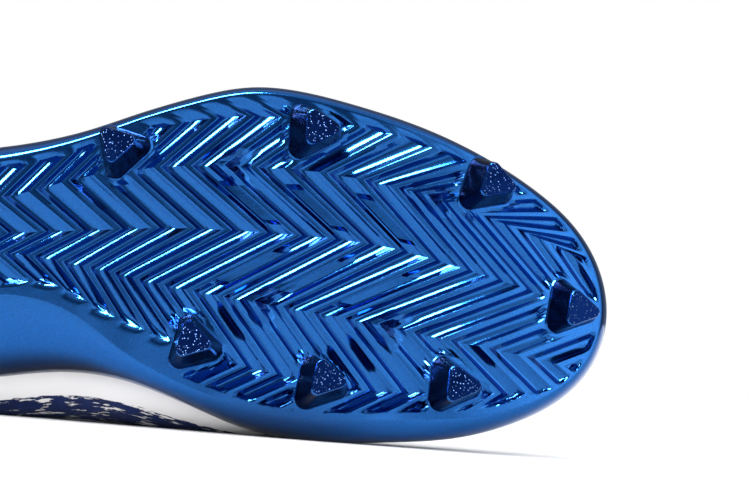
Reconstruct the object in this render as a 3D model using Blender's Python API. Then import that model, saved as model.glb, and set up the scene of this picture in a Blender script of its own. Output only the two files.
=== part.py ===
"""A right football cleat lying on its medial side, at its real size in metres, +Z up.

The shoe is modelled in its own frame: x from the heel to the toe, y towards the medial side,
z up from the ground that its studs would stand on. One empty then lays it on its side, on
the facet of its outer shape that it rests on.
"""

import math

import bmesh
import bpy
import numpy as np
from mathutils import Matrix, Vector
from mathutils.geometry import delaunay_2d_cdt

MM = 0.001

# Sole plate
SOLE_LENGTH = 300 * MM
BALL_WIDTH = 104 * MM
PLATE_THICKNESS = 3.8 * MM
GROOVE_DEPTH = 2.3 * MM
EDGE_WIDTH = 5.0 * MM
LIP_HEIGHT = 8.0 * MM
LIP_THICKNESS = 1.6 * MM
FLANK_WIDTH = 21.0 * MM
FLANK_RISE = 8.0 * MM
HEEL_LIFT = 3.0 * MM
ARCH_RISE = 7.0 * MM
TOE_SPRING = 15.0 * MM
CROWN_RISE = 1.2 * MM

# Studs
STUD_HEIGHT = 10.5 * MM
STUD_BASE_RADIUS = 8.6 * MM
STUD_TIP_RADIUS = 5.6 * MM
PEAK_HEIGHT = 5.5 * MM
PEAK_BASE_RADIUS = 5.4 * MM
PEAK_TIP_RADIUS = 1.5 * MM
STUD_ROOT = 1.6 * MM

# Upper
UPPER_WALL = 2.0 * MM
COLLAR_PADDING = 2.6 * MM
EYESTAY_STEP = 0.7 * MM
EYESTAY_WIDTH = 16 * MM
INSTEP_HEIGHT = 90 * MM
EYELET_COUNT = 6
EYELET_RADIUS = 2.1 * MM
EYELET_INSET = 7.5 * MM

# Tongue, insole and lace
TONGUE_THICKNESS = 4.0 * MM
TONGUE_OVERHANG = 22 * MM
TONGUE_TUCK = 11 * MM
TONGUE_TAPER = 0.24
# How far the tongue runs on under the toe box, over the distance of two of its rows.
TONGUE_REACH = 1.6
INSOLE_THICKNESS = 4.0 * MM
INSOLE_GAP = 0.8 * MM
LACE_WIDTH = 6.5 * MM
LACE_THICKNESS = 1.4 * MM
LACE_ARCH = 0.36

# Fits
CLEARANCE = 0.35 * MM
FLOOR_FLAT = 0.45 * MM
FOOT_RISE = 0.5 * MM
TOWARD_LEAN = 25 * MM

HALF = BALL_WIDTH / 2
RIDGE_FLAT = 0.09
FADE_WIDTH = 3.0 * MM
LINE_MARGIN = 0.7 * MM
FLOOR_PITCH = 14 * MM
FLOOR_MARGIN = 5 * MM
SLOPE_REACH = 4 * MM
NORMAL_REACH = 1.5 * MM
OUTLINE_SAMPLES = 80
# How much a length of outline as long as half the ball width counts against a radian of turn.
LENGTH_WEIGHT = 1.25
SMOOTH_ANGLE = 35
TREAD_SMOOTH_ANGLE = 25

# The plate's outline, clockwise seen from below: from the heel's back along the medial side to
# the toe and back. Columns: x over the length, y over half the ball width, how much of the edge
# width and of the arch flank the outline has there.
OUTLINE = (
    (0.000, 0.04, 0.9, 0.00),
    (0.017, 0.40, 0.9, 0.00),
    (0.057, 0.64, 0.9, 0.00),
    (0.133, 0.74, 0.9, 0.00),
    (0.250, 0.71, 0.8, 0.20),
    (0.345, 0.63, 0.4, 0.82),
    (0.406, 0.60, 0.3, 1.00),
    (0.460, 0.58, 0.3, 0.80),
    (0.513, 0.62, 0.5, 0.30),
    (0.563, 0.72, 0.8, 0.04),
    (0.602, 0.82, 1.0, 0.00),
    (0.655, 0.94, 1.2, 0.00),
    (0.720, 1.00, 1.3, 0.00),
    (0.790, 1.00, 1.3, 0.00),
    (0.855, 0.97, 1.1, 0.00),
    (0.910, 0.88, 0.8, 0.00),
    (0.955, 0.74, 0.6, 0.00),
    (0.985, 0.55, 0.5, 0.00),
    (1.000, 0.26, 0.5, 0.00),
    (0.992, -0.01, 0.5, 0.00),
    (0.968, -0.24, 0.5, 0.00),
    (0.929, -0.44, 0.5, 0.00),
    (0.876, -0.63, 0.5, 0.00),
    (0.820, -0.78, 0.6, 0.00),
    (0.758, -0.90, 0.6, 0.00),
    (0.705, -0.98, 0.6, 0.00),
    (0.655, -1.01, 0.6, 0.00),
    (0.600, -0.96, 0.6, 0.00),
    (0.543, -0.87, 0.6, 0.00),
    (0.485, -0.77, 0.6, 0.02),
    (0.406, -0.69, 0.7, 0.07),
    (0.317, -0.66, 0.8, 0.06),
    (0.233, -0.67, 0.9, 0.00),
    (0.133, -0.67, 0.9, 0.00),
    (0.057, -0.57, 0.9, 0.00),
    (0.017, -0.33, 0.9, 0.00),
)
TOE_ROW = max(range(len(OUTLINE)), key=lambda row: OUTLINE[row][0])

# Height of the tread along the sole. Columns: x over the length, then the share of the heel
# lift, of the arch rise and of the toe spring.
KEEL = (
    (0.00, 1.60, 0.00, 0.00),
    (0.05, 1.10, 0.00, 0.00),
    (0.13, 1.00, 0.00, 0.00),
    (0.24, 1.00, 0.05, 0.00),
    (0.32, 0.90, 0.55, 0.00),
    (0.40, 0.60, 1.00, 0.00),
    (0.48, 0.35, 0.85, 0.00),
    (0.56, 0.10, 0.30, 0.00),
    (0.64, 0.00, 0.00, 0.00),
    (0.76, 0.00, 0.00, 0.00),
    (0.84, 0.00, 0.00, 0.12),
    (0.90, 0.00, 0.00, 0.34),
    (0.95, 0.00, 0.00, 0.62),
    (1.00, 0.00, 0.00, 1.00),
)

# The zigzag that each tread ridge follows, lateral rim to medial rim. Columns: ridge number,
# then x over the length and y over half the ball width of its seven corners.
ZIGZAG = (
    (-13, -0.07, -0.69, -0.03, -0.44, -0.07, -0.23, -0.03, 0.00, -0.07, 0.21, -0.03, 0.42, -0.07, 0.69),
    (-8, 0.11, -0.69, 0.150, -0.45, 0.117, -0.23, 0.152, -0.02, 0.117, 0.20, 0.150, 0.42, 0.11, 0.69),
    (-4, 0.25, -0.69, 0.293, -0.52, 0.260, -0.35, 0.300, -0.15, 0.263, 0.02, 0.293, 0.19, 0.25, 0.37),
    (0, 0.39, -0.71, 0.438, -0.58, 0.404, -0.39, 0.447, -0.19, 0.406, -0.07, 0.438, 0.09, 0.39, 0.25),
    (3, 0.49, -0.92, 0.547, -0.76, 0.501, -0.51, 0.558, -0.20, 0.491, 0.01, 0.523, 0.31, 0.46, 0.46),
    (6, 0.57, -1.06, 0.651, -0.83, 0.590, -0.55, 0.664, -0.17, 0.564, 0.12, 0.614, 0.53, 0.54, 0.73),
    (9, 0.69, -1.10, 0.756, -0.77, 0.687, -0.53, 0.763, -0.11, 0.651, 0.22, 0.704, 0.66, 0.61, 0.90),
    (12, 0.81, -0.88, 0.868, -0.56, 0.791, -0.43, 0.859, 0.03, 0.739, 0.31, 0.795, 0.73, 0.71, 0.96),
    (15, 0.91, -0.60, 0.957, -0.29, 0.875, -0.28, 0.946, 0.19, 0.841, 0.43, 0.892, 0.73, 0.83, 0.96),
    (18, 0.99, -0.27, 1.022, 0.11, 0.973, -0.05, 1.022, 0.40, 0.954, 0.56, 0.985, 0.71, 0.93, 0.92),
    (21, 1.06, 0.10, 1.090, 0.48, 1.060, 0.25, 1.100, 0.65, 1.060, 0.73, 1.080, 0.82, 1.03, 0.92),
)
FIRST_RIDGE, LAST_RIDGE = -12, 20

# Studs. Columns: x over the length, y over half the ball width, turn in degrees, and the tip's
# lead towards the toe and towards the medial side over the stud's height.
STUDS = (
    (0.525, -0.63, 16, 0.07, -0.06),
    (0.715, -0.74, 2, 0.30, -0.07),
    (0.880, -0.46, -14, 0.20, -0.11),
    (0.960, 0.22, -5, 0.03, 0.10),
    (0.850, 0.69, -1, 0.17, 0.03),
    (0.721, 0.69, -7, 0.26, -0.11),
    (0.597, 0.45, -11, 0.10, -0.06),
    (0.220, -0.42, 8, 0.00, 0.00),
    (0.095, -0.33, 4, 0.00, 0.00),
    (0.235, 0.38, -8, 0.00, 0.00),
    (0.105, 0.34, -4, 0.00, 0.00),
)
PEAKS = (
    (0.624, -0.55),
    (0.802, -0.45),
    (0.650, 0.21),
    (0.768, 0.33),
)

# The upper's ribs, from its foot inside the lip to the edge of its opening. Columns: share of
# the outline's side from the heel; the edge's x over the length, y over half the ball width and
# z over the instep height; how far the rib leaves its foot outwards and upwards, and its edge
# outwards and downwards, over half the ball width and the instep height.
MEDIAL_RIBS = (
    (0.000, 0.030, 0.00, 0.93, 0.10, 0.20, 0.03, 0.25),
    (0.075, 0.047, 0.27, 0.91, 0.09, 0.20, 0.03, 0.25),
    (0.160, 0.120, 0.47, 0.82, 0.06, 0.18, 0.06, 0.20),
    (0.270, 0.215, 0.53, 0.73, 0.15, 0.13, 0.12, 0.16),
    (0.360, 0.290, 0.52, 0.78, 0.30, 0.10, 0.22, 0.12),
    (0.440, 0.350, 0.43, 0.93, 0.51, 0.07, 0.33, 0.09),
    (0.520, 0.400, 0.35, 0.99, 0.50, 0.06, 0.47, 0.09),
    (0.600, 0.470, 0.31, 0.90, 0.28, 0.13, 0.60, 0.07),
    (0.680, 0.535, 0.28, 0.80, 0.07, 0.22, 0.52, 0.06),
    (0.760, 0.595, 0.25, 0.71, 0.02, 0.24, 0.47, 0.04),
    (0.840, 0.642, 0.22, 0.645, 0.02, 0.23, 0.52, 0.02),
    (0.910, 0.670, 0.18, 0.610, 0.02, 0.21, 0.68, 0.01),
    (0.960, 0.684, 0.11, 0.594, 0.02, 0.20, 0.86, 0.00),
    (1.000, 0.688, 0.04, 0.590, 0.02, 0.19, 0.95, 0.00),
)
LATERAL_RIBS = (
    (0.075, 0.047, -0.27, 0.91, 0.09, 0.20, 0.03, 0.25),
    (0.160, 0.120, -0.47, 0.81, 0.08, 0.18, 0.06, 0.20),
    (0.270, 0.215, -0.54, 0.70, 0.10, 0.14, 0.09, 0.16),
    (0.360, 0.290, -0.53, 0.76, 0.14, 0.12, 0.13, 0.14),
    (0.440, 0.350, -0.43, 0.92, 0.16, 0.14, 0.24, 0.11),
    (0.520, 0.400, -0.35, 0.98, 0.12, 0.17, 0.34, 0.09),
    (0.600, 0.470, -0.30, 0.89, 0.06, 0.21, 0.39, 0.07),
    (0.680, 0.535, -0.25, 0.79, 0.03, 0.23, 0.42, 0.05),
    (0.760, 0.595, -0.20, 0.70, 0.02, 0.22, 0.46, 0.04),
    (0.840, 0.642, -0.15, 0.640, 0.02, 0.20, 0.55, 0.02),
    (0.910, 0.670, -0.10, 0.607, 0.02, 0.19, 0.70, 0.01),
    (0.960, 0.684, -0.03, 0.593, 0.02, 0.19, 0.86, 0.00),
)
# Rib numbers, counted along each side from the heel: where the throat begins, the top and the
# bottom eyelet, the tongue's top and front.
THROAT_RIB = 5.0
THROAT_RAMP = 0.5
EYELET_RIBS = (6.0, 10.4)
TONGUE_RIBS = (6.1, 12.2)
# Shares of a rib below and above the eyestay's lower edge.
LOWER_LEVELS = (0.0, 0.12, 0.28, 0.46, 0.64, 0.82, 1.0)
UPPER_LEVELS = (0.05, 0.5, 0.9, 1.0)
INNER_LOWER = (0.0, 0.3, 0.7, 1.0)
INNER_UPPER = (0.5, 0.9, 1.0)


def smooth(knots, values):
    """A monotone cubic through the values, as a function."""
    knots, values = np.asarray(knots, float), np.asarray(values, float)
    step = np.diff(knots)
    slope = np.diff(values) / step
    tangent = np.zeros(len(knots))
    tangent[0], tangent[-1] = slope[0], slope[-1]
    for i in range(1, len(knots) - 1):
        if slope[i - 1] * slope[i] > 0:
            before, after = 2 * step[i] + step[i - 1], step[i] + 2 * step[i - 1]
            tangent[i] = (before + after) / (before / slope[i - 1] + after / slope[i])

    def value(x):
        x = np.asarray(x, float)
        i = np.clip(np.searchsorted(knots, x) - 1, 0, len(step) - 1)
        t = (x - knots[i]) / step[i]
        a, b = values[i], values[i + 1]
        u, v = tangent[i] * step[i], tangent[i + 1] * step[i]
        inside = a + t * (u + t * (3 * (b - a) - 2 * u - v + t * (u + v - 2 * (b - a))))
        return np.where(t < 0, a + u * t, np.where(t > 1, b + v * (t - 1), inside))

    return value


def closed_spline(points, at, spacing=None):
    """The periodic cubic spline through rows of values, read at places counted in rows."""
    points = np.asarray(points, float)
    count = len(points)
    step = np.ones(count) if spacing is None else np.asarray(spacing, float)
    ahead = np.roll(points, -1, axis=0)
    slope = (ahead - points) / step[:, None]
    system = np.zeros((count, count))
    for i in range(count):
        h = i - 1
        system[i, h % count] += step[h]
        system[i, i] += 2 * (step[h] + step[i])
        system[i, (i + 1) % count] += step[i]
    bend = np.linalg.solve(system, 6 * (slope - np.roll(slope, 1, axis=0)))
    at = np.asarray(at, float) % count
    i = np.minimum(at.astype(int), count - 1)
    j = (i + 1) % count
    h = step[i][:, None]
    t = (at - i)[:, None] * h
    first = slope[i] - h * (2 * bend[i] + bend[j]) / 6
    return points[i] + t * (first + t * (bend[i] / 2 + t * (bend[j] - bend[i]) / (6 * h)))


def dense_outline(samples_per_row=40):
    """The outline as columns x, y, edge share, flank share and length so far, and the toe's."""
    rows = np.array(OUTLINE) * (SOLE_LENGTH, HALF, 1, 1)
    chord = np.linalg.norm(np.roll(rows, -1, axis=0)[:, :2] - rows[:, :2], axis=1)
    at = np.arange(len(rows) * samples_per_row + 1) / samples_per_row
    line = closed_spline(rows, at, chord)
    run = np.concatenate([[0], np.cumsum(np.linalg.norm(np.diff(line[:, :2], axis=0), axis=1))])
    return line, run, run[TOE_ROW * samples_per_row]


LINE, RUN, TOE_RUN = dense_outline()


def outline_at(run):
    """Points, outward normals and the edge and flank shares at lengths along the outline."""
    run = np.asarray(run, float) % RUN[-1]
    point = np.stack([np.interp(run, RUN, LINE[:, c]) for c in range(2)], axis=-1)
    shares = [np.maximum(np.interp(run, RUN, LINE[:, c]), 0) for c in (2, 3)]
    reach = NORMAL_REACH
    ends = [
        np.stack([np.interp((run + d) % RUN[-1], RUN, LINE[:, c]) for c in range(2)], axis=-1)
        for d in (-reach, reach)
    ]
    along = ends[1] - ends[0]
    along /= np.linalg.norm(along, axis=-1, keepdims=True)
    normal = np.stack([-along[..., 1], along[..., 0]], axis=-1)
    return point, normal, shares[0], shares[1]


KEEL_CURVES = [smooth([r[0] for r in KEEL], [r[c] for r in KEEL]) for c in (1, 2, 3)]


def tread_height(x, y):
    """Height of the ridges' crests above the ground."""
    heel, arch, toe = (curve(np.asarray(x) / SOLE_LENGTH) for curve in KEEL_CURVES)
    rise = HEEL_LIFT * heel + ARCH_RISE * arch + TOE_SPRING * toe
    return STUD_HEIGHT + rise + CROWN_RISE * (np.asarray(y) / HALF) ** 2


class Rim:
    """The plate's loops at a number of places along its outline."""

    def __init__(self, run):
        self.point, self.normal, edge, flank = outline_at(run)
        self.inset = EDGE_WIDTH * edge + FLANK_WIDTH * flank
        self.floor_inset = LIP_THICKNESS + MM + FLANK_WIDTH * flank
        field = self.inward(self.inset)
        self.tread = tread_height(field[:, 0], field[:, 1])
        self.lip = self.tread + LIP_HEIGHT + FLANK_RISE * flank
        self.pocket = self.lip - (LIP_HEIGHT - PLATE_THICKNESS)

    def inward(self, distance):
        return self.point - self.normal * np.reshape(distance, (-1, 1))

    def loop(self, distance, height):
        return np.column_stack([self.inward(distance), np.broadcast_to(height, len(self.lip))])

    def floor_height(self, distance):
        """Height of the plate's inner floor at a distance in from the outline."""
        share = np.clip((distance - LIP_THICKNESS) / (self.floor_inset - LIP_THICKNESS), 0, 1)
        return self.pocket + (self.tread + PLATE_THICKNESS - self.pocket) * share


def shared_runs():
    """Lengths along the outline at which all loops and ribs stand, closer where it turns."""
    along = np.diff(LINE[:, :2], axis=0)
    turn = np.unwrap(np.arctan2(along[:, 1], along[:, 0]))
    bend = np.abs(np.gradient(turn)) + LENGTH_WEIGHT * np.diff(RUN) / HALF
    share = np.concatenate([[0], np.cumsum(bend)])
    return np.interp(np.arange(OUTLINE_SAMPLES) / OUTLINE_SAMPLES, share / share[-1], RUN)


def inside(points, polygon):
    """Which points lie in a closed polygon."""
    x, y = points[:, 0, None], points[:, 1, None]
    ax, ay = polygon[:, 0], polygon[:, 1]
    bx, by = np.roll(ax, -1), np.roll(ay, -1)
    crosses = (ay > y) != (by > y)
    safe = np.where(by == ay, 1, by - ay)
    left = x < (bx - ax) * (y - ay) / safe + ax
    return (crosses & left).sum(axis=1) % 2 == 1


def distance_to(points, polygon):
    """Distance from each point to a closed polygon's sides."""
    a, b = polygon, np.roll(polygon, -1, axis=0)
    side = b - a
    offset = points[:, None] - a
    t = np.clip((offset * side).sum(-1) / (side * side).sum(-1), 0, 1)
    return np.linalg.norm(offset - t[..., None] * side, axis=-1).min(axis=1)


def triangulated(loop, lines, loose):
    """Triangles of the region in a loop, with edges along the given lines.

    Returns the points, loop first, each point's number in the input, or -1 where two lines
    cross, and the triangles.
    """
    points = [loop, *lines]
    edges = [(i, (i + 1) % len(loop)) for i in range(len(loop))]
    start = len(loop)
    for line in lines:
        edges += [(start + i, start + i + 1) for i in range(len(line) - 1)]
        start += len(line)
    points = np.concatenate([*points, loose] if len(loose) else points)
    scaled = [Vector(p / MM) for p in points]
    made = delaunay_2d_cdt(scaled, edges, [], 0, 1e-4)
    flat = np.array([tuple(v) for v in made[0]]) * MM
    source = np.array([old[0] if old else -1 for old in made[3]])
    triangles = np.array([tuple(f) for f in made[2]])
    centres = flat[triangles].mean(axis=1)
    return flat, source, triangles[inside(centres, loop)]


ZIGZAG_CURVES = [
    smooth([r[0] for r in ZIGZAG], [r[c] for r in ZIGZAG]) for c in range(1, 15)
]


def zigzag(ridge, per_arm):
    """Points along one zigzag, with per_arm steps on each of its six arms."""
    scale = (SOLE_LENGTH, HALF)
    corners = [[ZIGZAG_CURVES[2 * k + a](ridge) * scale[a] for a in (0, 1)] for k in range(7)]
    corners = np.array(corners, float)
    at = np.arange(6 * per_arm + 1) / per_arm
    return np.stack([np.interp(at, np.arange(7), corners[:, a]) for a in (0, 1)], axis=-1)


def runs_inside(line, keep, region):
    """The stretches of a finely stepped line that lie in a region, thinned to the kept steps."""
    flags = inside(line, region)
    found, start = [], None
    for i, flag in enumerate([*flags, False]):
        if flag and start is None:
            start = i
        elif not flag and start is not None:
            if i - start > 3:
                steps = [s for s in range(start, i) if s in (start, i - 1) or keep(s)]
                found.append(steps)
            start = None
    return found


def tread_field(rim):
    """The grooved underside inside the rim: points, heights and triangles, the loop's first."""
    loop = rim.inward(rim.inset)
    region = rim.inward(rim.inset + LINE_MARGIN)
    fine, lines, depths = 16, [], []
    phases = []
    for ridge in range(FIRST_RIDGE, LAST_RIDGE + 1):
        phases += [(ridge - RIDGE_FLAT, 0.0), (ridge + RIDGE_FLAT, 0.0), (ridge + 0.5, 1.0)]
    for phase, depth in phases:
        line = zigzag(phase, fine)
        far = np.minimum(distance_to(line, loop) / FADE_WIDTH, 1)
        for steps in runs_inside(line, lambda s: s % fine == 0, region):
            lines.append(line[steps])
            depths.append(depth * far[steps] ** 2 * (3 - 2 * far[steps]))
    flat, source, triangles = triangulated(loop, lines, [])
    # The last depth is a ridge's flank, where two lines cross.
    depth = np.concatenate([np.zeros(len(loop)), *depths, [0.5]])
    heights = tread_height(flat[:, 0], flat[:, 1]) + GROOVE_DEPTH * depth[source]
    heights[: len(loop)] = rim.tread
    return flat, heights, triangles


def floor_points(loop):
    """Loose points on a grid inside a loop, to carry the floor's curve."""
    low, high = loop.min(axis=0), loop.max(axis=0)
    along = np.arange(low[0], high[0], FLOOR_PITCH)
    across = np.arange(low[1], high[1], 2 * FLOOR_PITCH)
    x, y = np.meshgrid(along, across)
    points = np.column_stack([x.ravel(), y.ravel()])
    return points[inside(points, loop) & (distance_to(points, loop) > FLOOR_MARGIN)]


def band(first, second, count):
    """Quads between two closed loops of count points, given where each starts."""
    return [
        (first + i, first + (i + 1) % count, second + (i + 1) % count, second + i)
        for i in range(count)
    ]


def mesh_object(name, points, faces, material, parent, smooth_angle=SMOOTH_ANGLE):
    """A named object from points and faces, its faces turned outwards."""
    mesh = bpy.data.meshes.new(name)
    mesh.from_pydata([tuple(p) for p in points], [], [tuple(map(int, f)) for f in faces])
    shape = bmesh.new()
    shape.from_mesh(mesh)
    bmesh.ops.recalc_face_normals(shape, faces=shape.faces)
    if shape.calc_volume(signed=True) < 0:
        bmesh.ops.reverse_faces(shape, faces=shape.faces)
    shape.to_mesh(mesh)
    shape.free()
    mesh.shade_smooth()
    mesh.set_sharp_from_angle(angle=math.radians(smooth_angle))
    obj = bpy.data.objects.new(name, mesh)
    bpy.context.scene.collection.objects.link(obj)
    mesh.materials.append(material)
    obj.parent = parent
    return obj


def add_boolean(obj, other, operation):
    """Joins another object to this one, or cuts it out, and keeps the other out of renders."""
    modifier = obj.modifiers.new(other.name, "BOOLEAN")
    modifier.operation = operation
    modifier.object = other
    modifier.solver = "EXACT"
    other.hide_render = True
    other.display_type = "WIRE"


def plate_shell():
    """Points and faces of the sole plate without its studs."""
    rim = Rim(shared_runs())
    count = OUTLINE_SAMPLES
    flat, heights, triangles = tread_field(rim)
    points = [np.column_stack([flat, heights])]
    faces = [tuple(t) for t in triangles]
    start = len(flat)

    loops = []
    wall_steps = 4
    for step in range(1, wall_steps + 1):
        turn = step / wall_steps * math.pi / 2
        rise = (rim.lip - rim.tread) * (1 - math.cos(turn))
        loops.append(rim.loop(rim.inset * (1 - math.sin(turn)), rim.tread + rise))
    loops.append(rim.loop(LIP_THICKNESS, rim.lip))
    loops.append(rim.loop(LIP_THICKNESS, rim.pocket))
    before = 0
    for loop in loops:
        points.append(loop)
        faces += band(before, start, count)
        before, start = start, start + count

    inner = rim.inward(rim.floor_inset)
    loose = floor_points(inner)
    flat, _, triangles = triangulated(inner, [], loose)
    heights = tread_height(flat[:, 0], flat[:, 1]) + PLATE_THICKNESS
    heights[:count] = rim.tread + PLATE_THICKNESS
    points.append(np.column_stack([flat, heights]))
    faces += [tuple(start + t) for t in triangles]
    faces += band(before, start, count)
    return np.concatenate(points), faces


def rounded_triangle(radius, corner, per_corner=4):
    """A triangle of that corner radius, as points round its centre, one corner at 115 degrees."""
    points = []
    for k in range(3):
        middle = math.radians(115 + 120 * k)
        centre = np.array([math.cos(middle), math.sin(middle)]) * (radius - corner)
        for i in range(per_corner):
            turn = middle + math.radians(-60 + 120 * i / (per_corner - 1))
            points.append(centre + corner * np.array([math.cos(turn), math.sin(turn)]))
    return np.array(points)


def surface_axes(x, y):
    """Outward direction of the sole at a place and two directions along it."""
    reach = SLOPE_REACH
    slope_x = (tread_height(x + reach, y) - tread_height(x - reach, y)) / (2 * reach)
    slope_y = (tread_height(x, y + reach) - tread_height(x, y - reach)) / (2 * reach)
    down = Vector((float(slope_x), float(slope_y), -1)).normalized()
    forward = Vector((1, 0, float(slope_x))).normalized()
    return down, forward, down.cross(forward).normalized()


def stud_rings(x, y, turn, lean, rings):
    """Stacked rounded triangles: rows of radius, corner radius and distance below the tread.

    The lean is how far the rings move towards the toe and the medial side with that distance.
    """
    down, forward, side = surface_axes(x, y)
    axis = down + forward * lean[0] - side * lean[1]
    foot = Vector((x, y, float(tread_height(x, y))))
    turned = Matrix.Rotation(math.radians(turn), 2)
    points = []
    for radius, corner, distance in rings:
        for p in rounded_triangle(radius, corner):
            across = turned @ Vector(p)
            points.append(foot + forward * across.x + side * across.y + axis * distance)
    count = len(points) // len(rings)
    faces = [tuple(range(count)), tuple(range((len(rings) - 1) * count, len(rings) * count))]
    for ring in range(len(rings) - 1):
        faces += band(ring * count, (ring + 1) * count, count)
    return points, faces


def stud_set(material, parent):
    """All studs and peaks as one cutter-like object, to be joined to the plate."""
    points, faces = [], []
    stud = (
        (STUD_BASE_RADIUS, 0.34 * STUD_BASE_RADIUS, -STUD_ROOT),
        (STUD_BASE_RADIUS, 0.34 * STUD_BASE_RADIUS, 0.08 * STUD_HEIGHT),
        (0.5 * (STUD_BASE_RADIUS + STUD_TIP_RADIUS), 0.30 * STUD_BASE_RADIUS, 0.42 * STUD_HEIGHT),
        (STUD_TIP_RADIUS, 0.30 * STUD_TIP_RADIUS, STUD_HEIGHT),
    )
    peak = (
        (PEAK_BASE_RADIUS, 0.5 * PEAK_BASE_RADIUS, -STUD_ROOT),
        (PEAK_BASE_RADIUS, 0.5 * PEAK_BASE_RADIUS, 0.1 * PEAK_HEIGHT),
        (PEAK_TIP_RADIUS, 0.6 * PEAK_TIP_RADIUS, PEAK_HEIGHT),
    )
    placed = [(x, y, turn, lean, stud) for x, y, turn, *lean in STUDS]
    placed += [(x, y, 0, (0, 0), peak) for x, y in PEAKS]
    for x, y, turn, lean, rings in placed:
        made, sides = stud_rings(x * SOLE_LENGTH, y * HALF, turn, lean, rings)
        faces += [tuple(len(points) + i for i in f) for f in sides]
        points += made
    return mesh_object("stud_forms", points, faces, material, parent)


def rib_rows():
    """The ribs' table as one closed ring of rows, with the foot as a length along the outline."""
    rows = []
    for row in MEDIAL_RIBS:
        rows.append((row[0] * TOE_RUN, *row[1:]))
    for row in reversed(LATERAL_RIBS):
        rows.append((RUN[-1] - row[0] * (RUN[-1] - TOE_RUN), *row[1:]))
    rows = np.array(rows)
    scale = (1, SOLE_LENGTH, HALF, INSTEP_HEIGHT, HALF, INSTEP_HEIGHT, HALF, INSTEP_HEIGHT)
    return rows * scale


RIB_ROWS = rib_rows()


def rib_values(ribs):
    """The rib table read between its rows. The foot's length is splined as its lead over the row
    number, so that it stays periodic."""
    rows = RIB_ROWS.copy()
    count = len(rows)
    even = RUN[-1] / count
    rows[:, 0] -= np.arange(count) * even
    values = closed_spline(rows, ribs)
    values[:, 0] += (np.asarray(ribs, float) % count) * even
    return values


def ribs_of(number):
    """The ring places of a rib number on the medial and on the lateral side."""
    return number, len(RIB_ROWS) - number


def throat_share(ribs):
    """1 along the throat and 0 along the collar, with a short ramp between them."""
    number = np.minimum(ribs, len(RIB_ROWS) - np.asarray(ribs, float))
    return np.clip((number - THROAT_RIB) / THROAT_RAMP, 0, 1)


def rib_curve(ribs, levels):
    """Points of the upper's base surface, one row for each rib.

    The levels are one list for all ribs, or one row for each.
    """
    values = rib_values(ribs)
    rim = Rim(values[:, 0])
    foot = rim.loop(LIP_THICKNESS + CLEARANCE, rim.lip + FOOT_RISE)
    edge = values[:, 1:4]
    toward = foot - edge
    toward[:, 2] = 0
    toward[:, :2] += rim.normal * TOWARD_LEAN
    toward /= np.linalg.norm(toward, axis=1, keepdims=True)
    outward = np.column_stack([rim.normal, np.zeros(len(foot))])
    up = np.array([0.0, 0.0, 1.0])
    leave = foot + outward * values[:, 4:5] + up * values[:, 5:6]
    arrive = edge + toward * values[:, 6:7] - up * values[:, 7:8]
    t = np.atleast_2d(np.asarray(levels, float))[..., None]
    s = 1 - t
    return (
        s**3 * foot[:, None]
        + 3 * s**2 * t * leave[:, None]
        + 3 * s * t**2 * arrive[:, None]
        + t**3 * edge[:, None]
    )


def surface_normals(ribs, levels):
    """Outward normals of the base surface."""
    da, db = 0.02, 0.004
    ribs, levels = np.asarray(ribs, float), np.asarray(levels, float)
    low, high = np.maximum(levels - db, 0), np.minimum(levels + db, 1)
    along = rib_curve(ribs + da, levels) - rib_curve(ribs - da, levels)
    across = rib_curve(ribs, high) - rib_curve(ribs, low)
    normal = np.cross(across, along)
    return normal / np.linalg.norm(normal, axis=-1, keepdims=True)


def levels_at(ribs, distance):
    """The level on each rib that lies a distance in from the opening's edge."""
    levels = np.linspace(1, 0.2, 41)
    line = rib_curve(ribs, levels)
    run = np.cumsum(np.linalg.norm(np.diff(line, axis=1), axis=-1), axis=1)
    run = np.concatenate([np.zeros((len(run), 1)), run], axis=1)
    return np.array([np.interp(distance, r, levels) for r in run])


def rib_levels(ribs, lower, upper):
    """One row of levels for each rib, from shares below and above the eyestay's lower edge."""
    stay = levels_at(ribs, EYESTAY_WIDTH)[:, None]
    return np.concatenate([stay * lower, stay + (1 - stay) * upper], axis=1)


def outer_grid(ribs):
    """The upper's outer surface, from its foot inside the lip to the opening."""
    levels = rib_levels(ribs, np.array(LOWER_LEVELS), np.array(UPPER_LEVELS))
    offset = np.zeros_like(levels)
    offset[:, len(LOWER_LEVELS) :] = EYESTAY_STEP * throat_share(ribs)[:, None]
    offset[:, -1] -= UPPER_WALL / 3
    grid = rib_curve(ribs, levels) + surface_normals(ribs, levels) * offset[..., None]
    rim = Rim(rib_values(ribs)[:, 0])
    foot = rim.loop(LIP_THICKNESS + CLEARANCE, rim.pocket + CLEARANCE)
    return np.concatenate([foot[:, None], grid], axis=1)


def inner_grid(ribs):
    """The upper's inner surface, padded along the collar."""
    levels = rib_levels(ribs, np.array(INNER_LOWER), np.array(INNER_UPPER))
    padding = np.zeros_like(levels)
    padding[:, len(INNER_LOWER) :] = (1.0, 0.9, 0.3)
    wall = UPPER_WALL + COLLAR_PADDING * padding * (1 - throat_share(ribs)[:, None])
    wall[:, -1] -= UPPER_WALL / 3
    grid = rib_curve(ribs, levels) - surface_normals(ribs, levels) * wall[..., None]
    rim = Rim(rib_values(ribs)[:, 0])
    inset = LIP_THICKNESS + CLEARANCE + UPPER_WALL
    grid[:, 0] = rim.loop(inset, rim.lip + FOOT_RISE)
    foot = rim.loop(inset, rim.pocket + CLEARANCE)
    return np.concatenate([foot[:, None], grid], axis=1)


def shared_ribs():
    """Rib places whose feet stand at the shared lengths along the outline."""
    fine = np.linspace(0, len(RIB_ROWS), 40 * len(RIB_ROWS) + 1)[:-1]
    feet = rib_values(fine)[:, 0]
    return np.interp(shared_runs(), [*feet, RUN[-1]], [*fine, len(RIB_ROWS)])


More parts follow.
